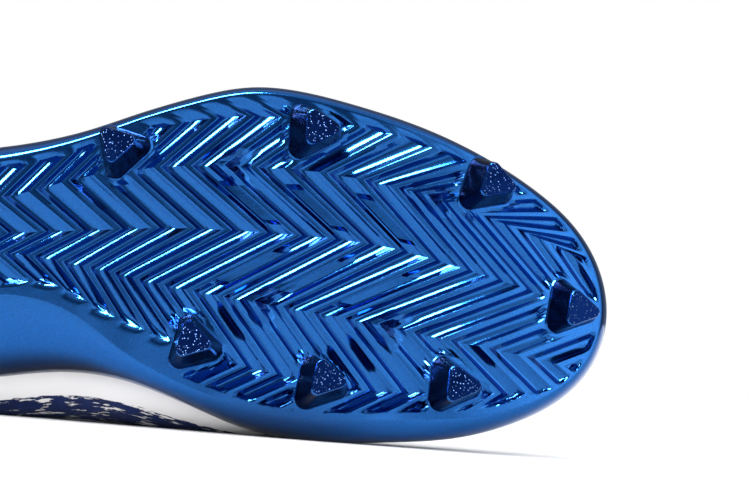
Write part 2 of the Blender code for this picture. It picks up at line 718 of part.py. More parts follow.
def grid_faces(rings, columns, start):
    """Quads of a grid that closes on itself along its rings."""
    faces = []
    for i in range(rings):
        a, b = start + i * columns, start + (i + 1) % rings * columns
        faces += [(a + k, b + k, b + k + 1, a + k + 1) for k in range(columns - 1)]
    return faces


def upper_points():
    """Points and faces of the hollow upper."""
    ribs = shared_ribs()
    outer, inner = outer_grid(ribs), inner_grid(ribs)
    rings, wide, narrow = len(ribs), outer.shape[1], inner.shape[1]
    points = np.concatenate([outer.reshape(-1, 3), inner.reshape(-1, 3)])
    start = rings * wide
    faces = grid_faces(rings, wide, 0) + [f[::-1] for f in grid_faces(rings, narrow, start)]
    for i in range(rings):
        j = (i + 1) % rings
        for a, b in ((0, 0), (wide - 1, narrow - 1)):
            facing = (start + j * narrow + b, start + i * narrow + b)
            faces.append((i * wide + a, j * wide + a, *facing))
    return points, faces


def eyelet_ribs():
    """Rib numbers of the eyelets, top to bottom, evenly spaced along the eyestay."""
    numbers = np.linspace(*EYELET_RIBS, 60)
    line = rib_curve(numbers, levels_at(numbers, EYELET_INSET)[:, None])[:, 0]
    run = np.concatenate([[0], np.cumsum(np.linalg.norm(np.diff(line, axis=0), axis=1))])
    return np.interp(np.linspace(0, run[-1], EYELET_COUNT), run, numbers)


def eyelets(side):
    """Centre and outward normal of each eyelet on one side, top to bottom."""
    ribs = np.array([ribs_of(number)[side] for number in eyelet_ribs()])
    levels = levels_at(ribs, EYELET_INSET)[:, None]
    centres, normals = rib_curve(ribs, levels)[:, 0], surface_normals(ribs, levels)[:, 0]
    return [(Vector(c), Vector(n)) for c, n in zip(centres, normals)]


def eyelet_cutters(parent, material):
    """One object with a round cutter through the wall at each eyelet."""
    reach = 3 * UPPER_WALL
    points, faces, sides = [], [], 12
    for side in (0, 1):
        for centre, normal in eyelets(side):
            across = normal.orthogonal().normalized()
            other = normal.cross(across)
            start = len(points)
            for end in (-reach, reach):
                for k in range(sides):
                    turn = 2 * math.pi * k / sides
                    ring = across * math.cos(turn) + other * math.sin(turn)
                    points.append(centre + ring * EYELET_RADIUS + normal * end)
            faces += band(start, start + sides, sides)
            faces += [tuple(range(first, first + sides)) for first in (start, start + sides)]
    return mesh_object("eyelet_forms", points, faces, material, parent)


def across_instep(number, reach, offset, shares):
    """Points over the instep from a distance below one throat edge to the same below the other.

    They lie an offset above the upper's base surface.
    """
    sides = []
    for side in (0, 1):
        ribs = np.full(3, float(ribs_of(number)[side]))
        levels = np.array([levels_at(ribs[:1], d)[0] for d in (reach, reach / 2, 0)])[:, None]
        sides.append((rib_curve(ribs, levels) + surface_normals(ribs, levels) * offset)[:, 0])
    line = np.concatenate([sides[0], sides[1][::-1]])
    at = np.concatenate([[0], np.cumsum(np.linalg.norm(np.diff(line, axis=0), axis=1))])
    at = at / at[-1]
    slope = np.gradient(line, at, axis=0)
    i = np.clip(np.searchsorted(at, shares) - 1, 0, len(at) - 2)
    step = (at[i + 1] - at[i])[:, None]
    t = (np.asarray(shares)[:, None] - at[i][:, None]) / step
    rise = line[i + 1] - line[i]
    u, v = slope[i] * step, slope[i + 1] * step
    return line[i] + t * (u + t * (3 * rise - 2 * u - v + t * (u + v - 2 * rise)))


def tongue_rows(across=9, rows=8):
    """The tongue's top surface as rows of points, front to top."""
    shares = np.linspace(0, 1, across)
    found = []
    for number in np.linspace(TONGUE_RIBS[1], TONGUE_RIBS[0], rows):
        near_top = min(max(TONGUE_RIBS[0] + 1 - number, 0), 1)
        tuck = TONGUE_TUCK * (1 - 0.4 * near_top)
        depth = UPPER_WALL + (2.4 + 3 * near_top) * CLEARANCE
        found.append(across_instep(number, tuck, -depth, shares))
    found = [found[0] + TONGUE_REACH * (found[0] - found[1]), *found]
    last = found[-1]
    reach = (last - found[-3]).mean(axis=0)
    reach *= TONGUE_OVERHANG / np.linalg.norm(reach)
    spread = np.linspace(-1, 1, across)[:, None]
    for share in (0.3, 0.6, 0.85, 1.0):
        narrow = last.mean(axis=0) + (last - last.mean(axis=0)) * (1 - TONGUE_TAPER * share**0.5)
        rounding = 1 - 0.45 * share**2 * spread**4
        found.append(narrow + reach * share * rounding + (0, 0, 0.12 * TONGUE_OVERHANG * share))
    return np.array(found)


def sheet_solid(top, thickness):
    """A closed solid from a grid of points and its thickness below it."""
    along = np.gradient(top, axis=0)
    across = np.gradient(top, axis=1)
    normal = np.cross(along, across)
    normal /= np.linalg.norm(normal, axis=-1, keepdims=True)
    normal *= np.sign(normal[..., 2:3].mean())
    rows, columns = top.shape[:2]
    points = np.concatenate([top.reshape(-1, 3), (top - normal * thickness).reshape(-1, 3)])
    lower = rows * columns
    faces = []
    for i in range(rows - 1):
        for k in range(columns - 1):
            a, b = i * columns + k, (i + 1) * columns + k
            faces += [(a, b, b + 1, a + 1), (lower + a + 1, lower + b + 1, lower + b, lower + a)]
    ring = [k for k in range(columns)]
    ring += [i * columns + columns - 1 for i in range(1, rows)]
    ring += [(rows - 1) * columns + k for k in range(columns - 2, -1, -1)]
    ring += [i * columns for i in range(rows - 2, 0, -1)]
    for i, a in enumerate(ring):
        b = ring[(i + 1) % len(ring)]
        faces.append((a, b, lower + b, lower + a))
    return points, faces


def insole_points():
    """Points and faces of the loose insole that lies on the plate's floor."""
    rim = Rim(shared_runs())
    count = OUTLINE_SAMPLES
    edge = LIP_THICKNESS + CLEARANCE + UPPER_WALL + INSOLE_GAP
    inner = np.maximum(rim.floor_inset, edge + 2 * MM)
    outer_loop = rim.loop(edge, rim.floor_height(edge))
    loop = rim.inward(inner)
    flat, _, triangles = triangulated(loop, [], floor_points(loop))
    heights = tread_height(flat[:, 0], flat[:, 1]) + PLATE_THICKNESS
    heights[:count] = rim.floor_height(inner)
    bottom = np.concatenate([np.column_stack([flat, heights]), outer_loop])
    bottom[:, 2] += 2 * CLEARANCE
    top = bottom + (0, 0, INSOLE_THICKNESS)
    start, lower = len(flat), len(bottom)
    faces = [tuple(t) for t in triangles] + [tuple(t[::-1] + lower) for t in triangles]
    faces += band(0, start, count) + band(lower, lower + start, count)
    faces += band(start, lower + start, count)
    return np.concatenate([bottom, top]), faces


def lace_bar(first, second, lift):
    """A flat ribbon between two eyelets, each a centre and a normal, arched over the tongue."""
    height = EYESTAY_STEP + 2 * CLEARANCE + LACE_THICKNESS / 2 + lift
    (a, normal_a), (b, normal_b) = first, second
    chord = b - a
    start, end = a + normal_a * height, b + normal_b * height
    leave = chord - normal_a * chord.dot(normal_a)
    arrive = -chord + normal_b * chord.dot(normal_b)
    reach = LACE_ARCH * chord.length
    controls = (start, start + leave.normalized() * reach, end + arrive.normalized() * reach, end)
    points, steps = [], 6
    for i in range(steps + 1):
        t = i / steps
        s = 1 - t
        weights = (s**3, 3 * s * s * t, 3 * s * t * t, t**3)
        slopes = (-s * s, s * s - 2 * s * t, 2 * s * t - t * t, t * t)
        centre = sum((p * w for p, w in zip(controls, weights)), Vector())
        along = sum((p * w for p, w in zip(controls, slopes)), Vector()).normalized()
        side = along.cross(normal_a.slerp(normal_b, t)).normalized()
        up = side.cross(along) * LACE_THICKNESS / 2
        side *= LACE_WIDTH / 2
        points += [centre - side - up, centre + side - up, centre + side + up, centre - side + up]
    faces = [(0, 1, 2, 3), tuple(4 * steps + k for k in range(4))]
    for i in range(steps):
        faces += band(4 * i, 4 * i + 4, 4)
    return points, faces


def build_lace(parent, material):
    """One joined solid: a straight bar at the lowest eyelets and crossings up to the top pair.

    Bars that meet lie a share of their thickness apart, so that they bite into each other.
    """
    medial, lateral = eyelets(0), eyelets(1)
    bite = 0.3 * LACE_THICKNESS
    bars = [lace_bar(medial[-1], lateral[-1], bite)]
    for i in range(EYELET_COUNT - 1, 0, -1):
        bars.append(lace_bar(medial[i], lateral[i - 1], 0))
        bars.append(lace_bar(lateral[i], medial[i - 1], 2 * bite))
    lace = mesh_object("lace", *bars[0], material, parent)
    for number, (points, faces) in enumerate(bars[1:]):
        form = mesh_object(f"lace_form_{number}", points, faces, material, parent)
        add_boolean(lace, form, "UNION")
    return lace


def principled(name, colour, roughness, metallic=0.0):
    material = bpy.data.materials.new(name)
    material.use_nodes = True
    shader = material.node_tree.nodes["Principled BSDF"]
    shader.inputs["Base Color"].default_value = (*colour, 1)
    shader.inputs["Roughness"].default_value = roughness
    shader.inputs["Metallic"].default_value = metallic
    return material


def evaluated_points(obj):
    """Vertices of an object with its modifiers, in the shoe's own frame, and its volume centre."""
    graph = bpy.context.evaluated_depsgraph_get()
    mesh = obj.evaluated_get(graph).to_mesh()
    mesh.calc_loop_triangles()
    points = np.array([v.co for v in mesh.vertices])
    corners = points[np.array([t.vertices for t in mesh.loop_triangles])]
    volumes = np.einsum("ij,ij->i", corners[:, 0], np.cross(corners[:, 1], corners[:, 2])) / 6
    centre = (volumes[:, None] * corners.sum(axis=1) / 4).sum(axis=0) / volumes.sum()
    return points, centre, volumes.sum()


def resting_facet(points, balance):
    """Outward normal and offset of the medial hull facet that lies under the balance point."""
    hull = bmesh.new()
    for p in points:
        hull.verts.new(p)
    made = bmesh.ops.convex_hull(hull, input=hull.verts)
    best = None
    for face in [g for g in made["geom"] if isinstance(g, bmesh.types.BMFace)]:
        corners = [v.co.copy() for v in face.verts[:3]]
        normal = (corners[1] - corners[0]).cross(corners[2] - corners[0])
        if normal.length < 1e-12:
            continue
        normal.normalize()
        if normal.dot(corners[0] - balance) < 0:
            normal.negate()
        if normal.y < 0.8 or normal.z < 0:
            continue
        foot = balance + normal * normal.dot(corners[0] - balance)
        turns = []
        for k in range(3):
            side = corners[(k + 1) % 3] - corners[k]
            turns.append(side.cross(foot - corners[k]).dot(normal) / side.length)
        margin = min(turns) if sum(turns) > 0 else min(-t for t in turns)
        if best is None or margin > best[0]:
            best = (margin, normal, normal.dot(corners[0]))
    hull.free()
    return best[1], best[2]


def trim_flat(obj, normal, offset):
    """Cuts an object flat along the floor plane."""
    shape = bmesh.new()
    shape.from_mesh(obj.data)
    made = bmesh.ops.bisect_plane(
        shape,
        geom=[*shape.verts, *shape.edges, *shape.faces],
        dist=1e-7,
        plane_co=normal * offset,
        plane_no=normal,
        clear_outer=True,
    )
    cut = [g for g in made["geom_cut"] if isinstance(g, bmesh.types.BMEdge)]
    if cut:
        bmesh.ops.holes_fill(shape, edges=cut, sides=0)
        bmesh.ops.recalc_face_normals(shape, faces=shape.faces)
    shape.to_mesh(obj.data)
    shape.free()


def main():
    for obj in list(bpy.data.objects):
        bpy.data.objects.remove(obj)
    lay = bpy.data.objects.new("laid_on_its_side", None)
    bpy.context.scene.collection.objects.link(lay)

    chrome = principled("blue_chrome", (0.03, 0.16, 0.52), 0.18, 1.0)
    white = principled("white_synthetic", (0.80, 0.80, 0.79), 0.55)
    lining = principled("lining_blue", (0.02, 0.06, 0.25), 0.8)
    cord = principled("lace_white", (0.85, 0.85, 0.84), 0.75)

    outsole = mesh_object("outsole", *plate_shell(), chrome, lay, TREAD_SMOOTH_ANGLE)
    studs = stud_set(chrome, lay)
    upper = mesh_object("upper", *upper_points(), white, lay)
    holes = eyelet_cutters(lay, white)
    tongue = mesh_object("tongue", *sheet_solid(tongue_rows(), TONGUE_THICKNESS), white, lay)
    insole = mesh_object("insole", *insole_points(), lining, lay)
    lace = build_lace(lay, cord)
    add_boolean(outsole, studs, "UNION")
    add_boolean(upper, holes, "DIFFERENCE")

    # Densities over water weigh each piece's centre.
    weights = ((outsole, 1.15), (upper, 0.75), (tongue, 0.35), (insole, 0.2), (lace, 0.9))
    found = [(evaluated_points(obj), density) for obj, density in weights]
    total = sum(volume * density for (_, _, volume), density in found)
    balance = sum(centre * volume * density for (_, centre, volume), density in found) / total
    points = np.concatenate([f[0][0] for f in found])
    normal, offset = resting_facet(points, Vector(balance))
    for obj in (outsole, upper):
        trim_flat(obj, normal, offset - FLOOR_FLAT)

    up = -normal
    forward = (Vector((1, 0, 0)) - up * up.x).normalized()
    turn = Matrix((forward, up.cross(forward), up)).to_4x4()
    laid = np.array([turn @ Vector(p) for p in points])
    low, high = laid.min(axis=0), laid.max(axis=0)
    drop = -(offset - FLOOR_FLAT)
    middle = (low + high) / 2
    lay.matrix_world = Matrix.Translation((-middle[0], -middle[1], -drop)) @ turn


main()
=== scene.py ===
"""Looks of the football cleat that lies on its medial side: moulded chrome sole, white upper, lace.

Forms are built in the shoe's own frame, in metres: x from the heel to the toe, y towards the
medial side, z up from the studs' tips. laid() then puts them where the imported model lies.
"""

import math

import bmesh
import bpy
import numpy as np
from mathutils import Matrix, Vector
from mathutils.geometry import delaunay_2d_cdt


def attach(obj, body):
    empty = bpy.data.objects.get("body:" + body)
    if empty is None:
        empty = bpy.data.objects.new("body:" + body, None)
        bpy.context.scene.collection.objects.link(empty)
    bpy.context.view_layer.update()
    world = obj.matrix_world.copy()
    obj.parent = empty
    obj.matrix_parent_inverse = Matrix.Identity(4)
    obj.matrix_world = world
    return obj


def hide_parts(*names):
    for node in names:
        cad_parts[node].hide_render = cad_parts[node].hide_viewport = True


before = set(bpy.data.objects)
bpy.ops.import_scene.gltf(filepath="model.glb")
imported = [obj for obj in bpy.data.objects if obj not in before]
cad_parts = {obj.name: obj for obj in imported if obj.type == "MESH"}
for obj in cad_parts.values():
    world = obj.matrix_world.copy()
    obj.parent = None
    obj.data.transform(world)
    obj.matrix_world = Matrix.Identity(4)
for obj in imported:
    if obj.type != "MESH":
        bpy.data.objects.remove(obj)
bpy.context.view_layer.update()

MM = 0.001

# Where the shoe's own frame lies in the row frame
SIDE_TURN = math.radians(-96.1845)
TOE_LIFT = math.radians(-4.2978)
SHOE_ORIGIN = Vector((-0.150384, -0.0471588, 0.0371073))
LAY = (
    Matrix.Translation(SHOE_ORIGIN)
    @ Matrix.Rotation(TOE_LIFT, 4, "Y")
    @ Matrix.Rotation(SIDE_TURN, 4, "X")
)

# Sole plate
SOLE_LENGTH = 300 * MM
HALF = 52 * MM
PLATE_THICKNESS = 3.8 * MM
GROOVE_DEPTH = 2.3 * MM
EDGE_WIDTH = 5.0 * MM
LIP_HEIGHT = 8.0 * MM
LIP_THICKNESS = 1.6 * MM
FLANK_WIDTH = 21.0 * MM
FLANK_RISE = 8.0 * MM
HEEL_LIFT = 3.0 * MM
ARCH_RISE = 7.0 * MM
TOE_SPRING = 15.0 * MM
CROWN_RISE = 1.2 * MM
SLOT_FADE = 1.5 * MM
SCOOP_FADE = 7.0 * MM
SLOT_STEPS = (0.15 * MM, 0.45 * MM, 0.8 * MM, 1.15 * MM, 1.5 * MM)
PAD_WIDTH = 1.2 * MM
PAD_FADE = 1.0 * MM
FLANK_CREASE = 0.42
# Painted shade on the sole's chrome: a dark tint up to this height over the floor, fading out between
# these places along the length, and on the outer part of the flank's wall
PAINTED_SHADE_HEIGHT = 16 * MM
PAINTED_SHADE_END = 250 * MM
PAINTED_SHADE_FADE = 50 * MM
PAINTED_SHADE_BAND = (0.62, 0.33)
RIM_SAMPLES = 420
WALL_STEPS = 16
FLOOR_GRID = 5 * MM
TANGENT_REACH = 1.5 * MM
ARMS = 6
ARM_STEPS = 14
ARM_FINE = 10
PEAK_RISE = 3.6 * MM
PEAK_REACH = 9.0 * MM
PEAK_TOP = 1.15
PEAK_HEEL_END, PEAK_HEEL_BLEND = 0.36, 0.25
PEAK_TOE_END, PEAK_TOE_BLEND = 0.70, 0.55
POCKET_DEPTH = 1.12

# Studs
STUD_HEIGHT = 10.5 * MM
STUD_BASE_RADIUS = 8.6 * MM
STUD_CORNERS = (0.34, 0.30)
STUD_CORNER_TURN = 115
SLOPE_REACH = 4 * MM

# Upper, tongue and lace
UPPER_WALL = 2.0 * MM
COLLAR_PADDING = 2.6 * MM
EYESTAY_STEP = 0.7 * MM
EYESTAY_WIDTH = 16 * MM
STAY_STEP = 0.5 / 60
INSTEP_HEIGHT = 90 * MM
EYELET_COUNT = 6
EYELET_RADIUS = 2.1 * MM
EYELET_INSET = 7.5 * MM
PUNCH_SIDES = 20
PUNCH_REACH = 6 * MM
LACE_WIDTH = 6.5 * MM
LACE_THICKNESS = 1.3 * MM
LACE_ARCH = 0.36
LACE_STEPS = 22
LACE_TAPER_STEPS = 5
LACE_NARROW = 0.55
LACE_SIDES = 10
LACE_DIVE = (0.6 * MM, 2.2 * MM, 4.5 * MM)
LACE_TUCK = 0.3 * MM
STITCH_ROWS = (3.0, 14.4)
STITCH_PITCH = 2.6
STITCH_HALF = 0.4
STITCH_SHARE = 0.7
CLEARANCE = 0.35 * MM
FOOT_RISE = 0.5 * MM
TOWARD_LEAN = 25 * MM
UPPER_RIBS = 300
OUTER_LEVELS = 30
STAY_LEVELS = (0.12, 0.97, 9)
INNER_LEVELS = 12
PADDED_LEVELS = 8

# Camera, in the shoe's own frame
VIEW_WIDTH = 219.9 * MM
VIEW_CENTRE = Vector((231.8, -4.63, 20.0)) * MM
VIEW_DISTANCE = 2.4
CLIP = (0.05, 200)

# Chrome's colours, and the studio that it reflects: each soft box's direction, the angles from
# it where the box is full and where it ends, and its strength
CHROME = (0.0075, 0.088, 0.31)
# The studs' chrome: the plate's chrome darkened, painted shade for the walls' dark reflections
SHADED_STUD_CHROME = (0.0015, 0.009, 0.045)
# Colour of the painted shade that darkens the sole's chrome
PAINTED_SHADE_COLOUR = (0.0004, 0.003, 0.02, 1)
ROOM_COLOUR = (0.17, 0.20, 0.25, 1)
SOFT_BOXES = (
    ((0, -1, 0.05), 5, 14, 1.35),
    ((-0.33, -1, 0), 6, 16, 0.8),
    ((0.6, -1, 0.1), 14, 34, 0.85),
    ((0, -0.15, 1), 25, 60, 0.7),
    ((1, -0.6, 0.5), 12, 48, 1.7),
    ((-1, -1.2, -0.5), 10, 40, 0.5),
)
# The lamp for the white bands, and the soft light from above
LAMP_DIRECTION = (-0.44, -0.42, 0.79)
LAMP_ACROSS = (0.87, 0, 0.48)
LAMP_TARGET = (0.07, -0.03, 0.05)
LAMP_DISTANCE = 1.0
LAMP_SIZE = (0.75, 0.24)
LAMP_POWER = 46.0
LAMP_COLOUR = (1.0, 0.78, 0.72)
SOFT_LIGHT = 4.0
SOFT_ANGLE = math.radians(110)
SOFT_TILT = math.radians(15)
FLOOR_REACH = 1.4

# Colours of the stud tips, the cloths, the print and the floor
TIP_COLOUR = (0.002, 0.011, 0.068, 1)
TIP_DOTS = (0.07, 0.16, 0.36, 1)
UPPER_WHITE = (0.80, 0.80, 0.785)
INK = ((0.001, 0.006, 0.035, 1), (0.001, 0.014, 0.095, 1))
THREAD = (0.55, 0.55, 0.54, 1)
LINING_BLUE = (0.02, 0.06, 0.25)
TONGUE_WHITE = (0.78, 0.78, 0.77)
LACE_WHITE = (0.85, 0.85, 0.84)
FLOOR_WHITE = (0.72, 0.72, 0.72)

# Texture scales, counted over a metre
FLAKE_SCALE = 2600
WAVE_SCALE = 90
TIP_SCALE = 1250
WALL_SCALE = 1500
SKIN_SCALE = 1400
SKIN_WAVE_SCALE = 60
LINING_SCALE = 900
TONGUE_SCALE = 700
LACE_SCALE = 1500

# The print's bounds in millimetres: a ragged lower edge, a top and a front. Then how much of it
# is filled, and the level from which ink shows.
PRINT_EDGE = 6.0
PRINT_TOP = 46.0
PRINT_FRONT = 214.0
PRINT_FILL = 0.17
PRINT_CUT = 0.62

# The plate's outline. Each row: x over the length, y over half the ball width, how much of the
# edge width and of the arch flank the outline has there.
OUTLINE = (
    (0, 0.04, 0.9, 0), (0.017, 0.4, 0.9, 0), (0.057, 0.64, 0.9, 0),
    (0.133, 0.74, 0.9, 0), (0.25, 0.71, 0.8, 0.2), (0.345, 0.63, 0.4, 0.82),
    (0.406, 0.6, 0.3, 1), (0.46, 0.58, 0.3, 0.8), (0.513, 0.62, 0.5, 0.3),
    (0.563, 0.72, 0.8, 0.04), (0.602, 0.82, 1, 0), (0.655, 0.94, 1.2, 0),
    (0.72, 1, 1.3, 0), (0.79, 1, 1.3, 0), (0.855, 0.97, 1.1, 0),
    (0.91, 0.88, 0.8, 0), (0.955, 0.74, 0.6, 0), (0.985, 0.55, 0.5, 0),
    (1, 0.26, 0.5, 0), (0.992, -0.01, 0.5, 0), (0.968, -0.24, 0.5, 0),
    (0.929, -0.44, 0.5, 0), (0.876, -0.63, 0.5, 0), (0.82, -0.78, 0.6, 0),
    (0.758, -0.9, 0.6, 0), (0.705, -0.98, 0.6, 0), (0.655, -1.01, 0.6, 0),
    (0.6, -0.96, 0.6, 0), (0.543, -0.87, 0.6, 0), (0.485, -0.77, 0.6, 0.02),
    (0.406, -0.69, 0.7, 0.07), (0.317, -0.66, 0.8, 0.06), (0.233, -0.67, 0.9, 0),
    (0.133, -0.67, 0.9, 0), (0.057, -0.57, 0.9, 0), (0.017, -0.33, 0.9, 0),
)
TOE_ROW = 18
ROW_SAMPLES = 40

# Height of the tread. Each row: x over the length, then the share of the heel lift, of the arch
# rise and of the toe spring.
KEEL = (
    (0, 1.6, 0, 0), (0.05, 1.1, 0, 0), (0.13, 1, 0, 0),
    (0.24, 1, 0.05, 0), (0.32, 0.9, 0.55, 0), (0.4, 0.6, 1, 0),
    (0.48, 0.35, 0.85, 0), (0.56, 0.1, 0.3, 0), (0.64, 0, 0, 0),
    (0.76, 0, 0, 0), (0.84, 0, 0, 0.12), (0.9, 0, 0, 0.34),
    (0.95, 0, 0, 0.62), (1, 0, 0, 1),
)

# The zigzag that each tread ridge follows, lateral rim to medial rim. Columns: ridge number,
# then x over the length and y over half the ball width of its seven corners.
ZIGZAG = (
    (-13, -0.07, -0.69, -0.03, -0.44, -0.07, -0.23, -0.03, 0, -0.07, 0.21, -0.03, 0.42, -0.07, 0.69),
    (-8, 0.11, -0.69, 0.15, -0.45, 0.117, -0.23, 0.152, -0.02, 0.117, 0.2, 0.15, 0.42, 0.11, 0.69),
    (-4, 0.25, -0.69, 0.293, -0.52, 0.26, -0.35, 0.3, -0.15, 0.263, 0.02, 0.293, 0.19, 0.25, 0.37),
    (0, 0.39, -0.71, 0.438, -0.58, 0.404, -0.39, 0.447, -0.19, 0.406, -0.07, 0.438, 0.09, 0.39, 0.25),
    (3, 0.49, -0.92, 0.547, -0.76, 0.501, -0.51, 0.558, -0.2, 0.491, 0.01, 0.523, 0.31, 0.46, 0.46),
    (6, 0.57, -1.06, 0.651, -0.83, 0.59, -0.55, 0.664, -0.17, 0.564, 0.12, 0.614, 0.53, 0.54, 0.73),
    (9, 0.69, -1.1, 0.756, -0.77, 0.687, -0.53, 0.763, -0.11, 0.651, 0.22, 0.704, 0.66, 0.61, 0.9),
    (12, 0.81, -0.88, 0.868, -0.56, 0.791, -0.43, 0.859, 0.03, 0.739, 0.31, 0.795, 0.73, 0.71, 0.96),
    (15, 0.91, -0.6, 0.957, -0.29, 0.875, -0.28, 0.946, 0.19, 0.841, 0.43, 0.892, 0.73, 0.83, 0.96),
    (18, 0.99, -0.27, 1.022, 0.11, 0.973, -0.05, 1.022, 0.4, 0.954, 0.56, 0.985, 0.71, 0.93, 0.92),
    (21, 1.06, 0.1, 1.09, 0.48, 1.06, 0.25, 1.1, 0.65, 1.06, 0.73, 1.08, 0.82, 1.03, 0.92),
)
FIRST_RIDGE, LAST_RIDGE = -12, 20
# A ridge's section, gentle towards the heel and steep towards the toe: share of the pitch from
# its middle towards the toe, and of the groove's depth.
RIDGE_SECTION = (
    (-0.62, 0.74), (-0.54, 0.715), (-0.46, 0.65), (-0.38, 0.55),
    (-0.31, 0.44), (-0.27, 0.36), (-0.245, 0.29), (-0.15, 0.075),
    (-0.132, 0.035), (-0.11, 0), (0, 0.012), (0.1, 0),
    (0.125, 0.035), (0.15, 0.11), (0.285, 0.61), (0.32, 0.7),
)
# Raised ridge corners: ridge number and corner.
PEAKS = ((7, 2), (13, 2), (9, 4), (13, 4))
# Pockets beside these ridges' crests: arm, and the share of the pitch from the crest to the
# pocket's near and far edge.
POCKET_RIDGES = (7, 9, 11)
POCKET_EDGES = ((2, -0.14, -0.58), (3, 0.14, 0.56))
POCKET_SPAN = (0.22, 0.80)
# Below this ridge the field is plain beyond its last corner; above it the last arms are deeper
# and end further from the rim. LAST_ARM counts corners from the lateral rim.
LAST_PLAIN = 6.4
PLAIN_BLEND = 0.6
LAST_ARM = 4.86
LAST_ARM_BLEND = 0.26
MEDIAL_DEPTH = 1.5
MEDIAL_MARGIN = 1.5 * MM
# Ridge, arm, depth share and arm length noted for the loop's points and for points newly made
# where lines cross.
LOOP_NOTES = (-99, -99, 0, -99)
NEW_POINT_NOTES = (0, 3, 0.5, 1)

# Studs. Columns: x over the length, y over half the ball width, turn in degrees, and the tip's
# lead towards the toe and the medial side over the height.
STUDS = (
    (0.526, -0.643, 16, 0.07, -0.06),
    (0.709, -0.735, 2, 0.3, 0),
    (0.878, -0.434, -14, 0.2, -0.03),
    (0.961, 0.24, -5, 0.03, 0.1),
    (0.846, 0.69, -1, 0.17, 0.03),
    (0.717, 0.69, -7, 0.26, -0.11),
    (0.596, 0.465, -11, 0.1, -0.06),
    (0.22, -0.42, 8, 0, 0),
    (0.095, -0.33, 4, 0, 0),
    (0.235, 0.38, -8, 0, 0),
    (0.105, 0.34, -4, 0, 0),
)
# A stud's section from its skirt to its tip: share of the base radius and of the height.
STUD_SECTION = (
    (1.1, -0.2), (1.09, -0.02), (1.05, 0.006), (1.015, 0.03),
    (0.99, 0.07), (0.945, 0.18), (0.865, 0.4), (0.785, 0.62),
    (0.715, 0.84), (0.69, 0.93), (0.672, 0.978), (0.64, 1),
)
# Steps of that section that shine like the plate: the foot's fillet and the tip's bevel.
STUD_EDGES = (0, 1, 2, 9, 10)

# The upper's ribs. Columns: share of the outline's side from the heel; the edge's x over the
# length, y over half the ball width and z over the instep height; how far the rib leaves its foot
# outwards and upwards, and its edge outwards and downwards. The lateral ribs stand at the same
# shares and x as the medial ones between the first and the last.
MEDIAL_RIBS = (
    (0, 0.03, 0, 0.93, 0.1, 0.2, 0.03, 0.25),
    (0.075, 0.047, 0.27, 0.91, 0.09, 0.2, 0.03, 0.25),
    (0.16, 0.12, 0.47, 0.82, 0.06, 0.18, 0.06, 0.2),
    (0.27, 0.215, 0.53, 0.73, 0.15, 0.13, 0.12, 0.16),
    (0.36, 0.29, 0.52, 0.78, 0.3, 0.1, 0.22, 0.12),
    (0.44, 0.35, 0.43, 0.93, 0.51, 0.07, 0.33, 0.09),
    (0.52, 0.4, 0.35, 0.99, 0.5, 0.06, 0.47, 0.09),
    (0.6, 0.47, 0.31, 0.9, 0.28, 0.13, 0.6, 0.07),
    (0.68, 0.535, 0.28, 0.8, 0.07, 0.22, 0.52, 0.06),
    (0.76, 0.595, 0.25, 0.71, 0.02, 0.24, 0.47, 0.04),
    (0.84, 0.642, 0.22, 0.645, 0.02, 0.23, 0.52, 0.02),
    (0.91, 0.67, 0.18, 0.61, 0.02, 0.21, 0.68, 0.01),
    (0.96, 0.684, 0.11, 0.594, 0.02, 0.2, 0.86, 0),
    (1, 0.688, 0.04, 0.59, 0.02, 0.19, 0.95, 0),
)
LATERAL_RIBS = (
    (-0.27, 0.91, 0.09, 0.2, 0.03, 0.25),
    (-0.47, 0.81, 0.08, 0.18, 0.06, 0.2),
    (-0.54, 0.7, 0.1, 0.14, 0.09, 0.16),
    (-0.53, 0.76, 0.14, 0.12, 0.13, 0.14),
    (-0.43, 0.92, 0.16, 0.14, 0.24, 0.11),
    (-0.35, 0.98, 0.12, 0.17, 0.34, 0.09),
    (-0.3, 0.89, 0.06, 0.21, 0.39, 0.07),
    (-0.25, 0.79, 0.03, 0.23, 0.42, 0.05),
    (-0.2, 0.7, 0.02, 0.22, 0.46, 0.04),
    (-0.15, 0.64, 0.02, 0.2, 0.55, 0.02),
    (-0.1, 0.607, 0.02, 0.19, 0.7, 0.01),
    (-0.03, 0.593, 0.02, 0.19, 0.86, 0),
)
THROAT_RIB = 5.0
EYELET_RIBS = (6.0, 10.4)


def smooth(knots, values):
    """A monotone cubic through the values, as a function."""
    knots, values = np.asarray(knots, float), np.asarray(values, float)
    step = np.diff(knots)
    slope = np.diff(values) / step
    tangent = np.zeros(len(knots))
    tangent[0], tangent[-1] = slope[0], slope[-1]
    for i in range(1, len(knots) - 1):
        if slope[i - 1] * slope[i] > 0:
            before, after = 2 * step[i] + step[i - 1], step[i] + 2 * step[i - 1]
            tangent[i] = (before + after) / (before / slope[i - 1] + after / slope[i])

    def value(x):
        x = np.asarray(x, float)
        i = np.clip(np.searchsorted(knots, x) - 1, 0, len(step) - 1)
        t = (x - knots[i]) / step[i]
        a, b = values[i], values[i + 1]
        u, v = tangent[i] * step[i], tangent[i + 1] * step[i]
        inside = a + t * (u + t * (3 * (b - a) - 2 * u - v + t * (u + v - 2 * (b - a))))
        return np.where(t < 0, a + u * t, np.where(t > 1, b + v * (t - 1), inside))

    return value


def curves(table):
    """Each further column of a table as a function of its first."""
    knots, *columns = zip(*table)
    return [smooth(knots, column) for column in columns]


def smoothstep(x):
    x = np.clip(x, 0, 1)
    return x * x * (3 - 2 * x)


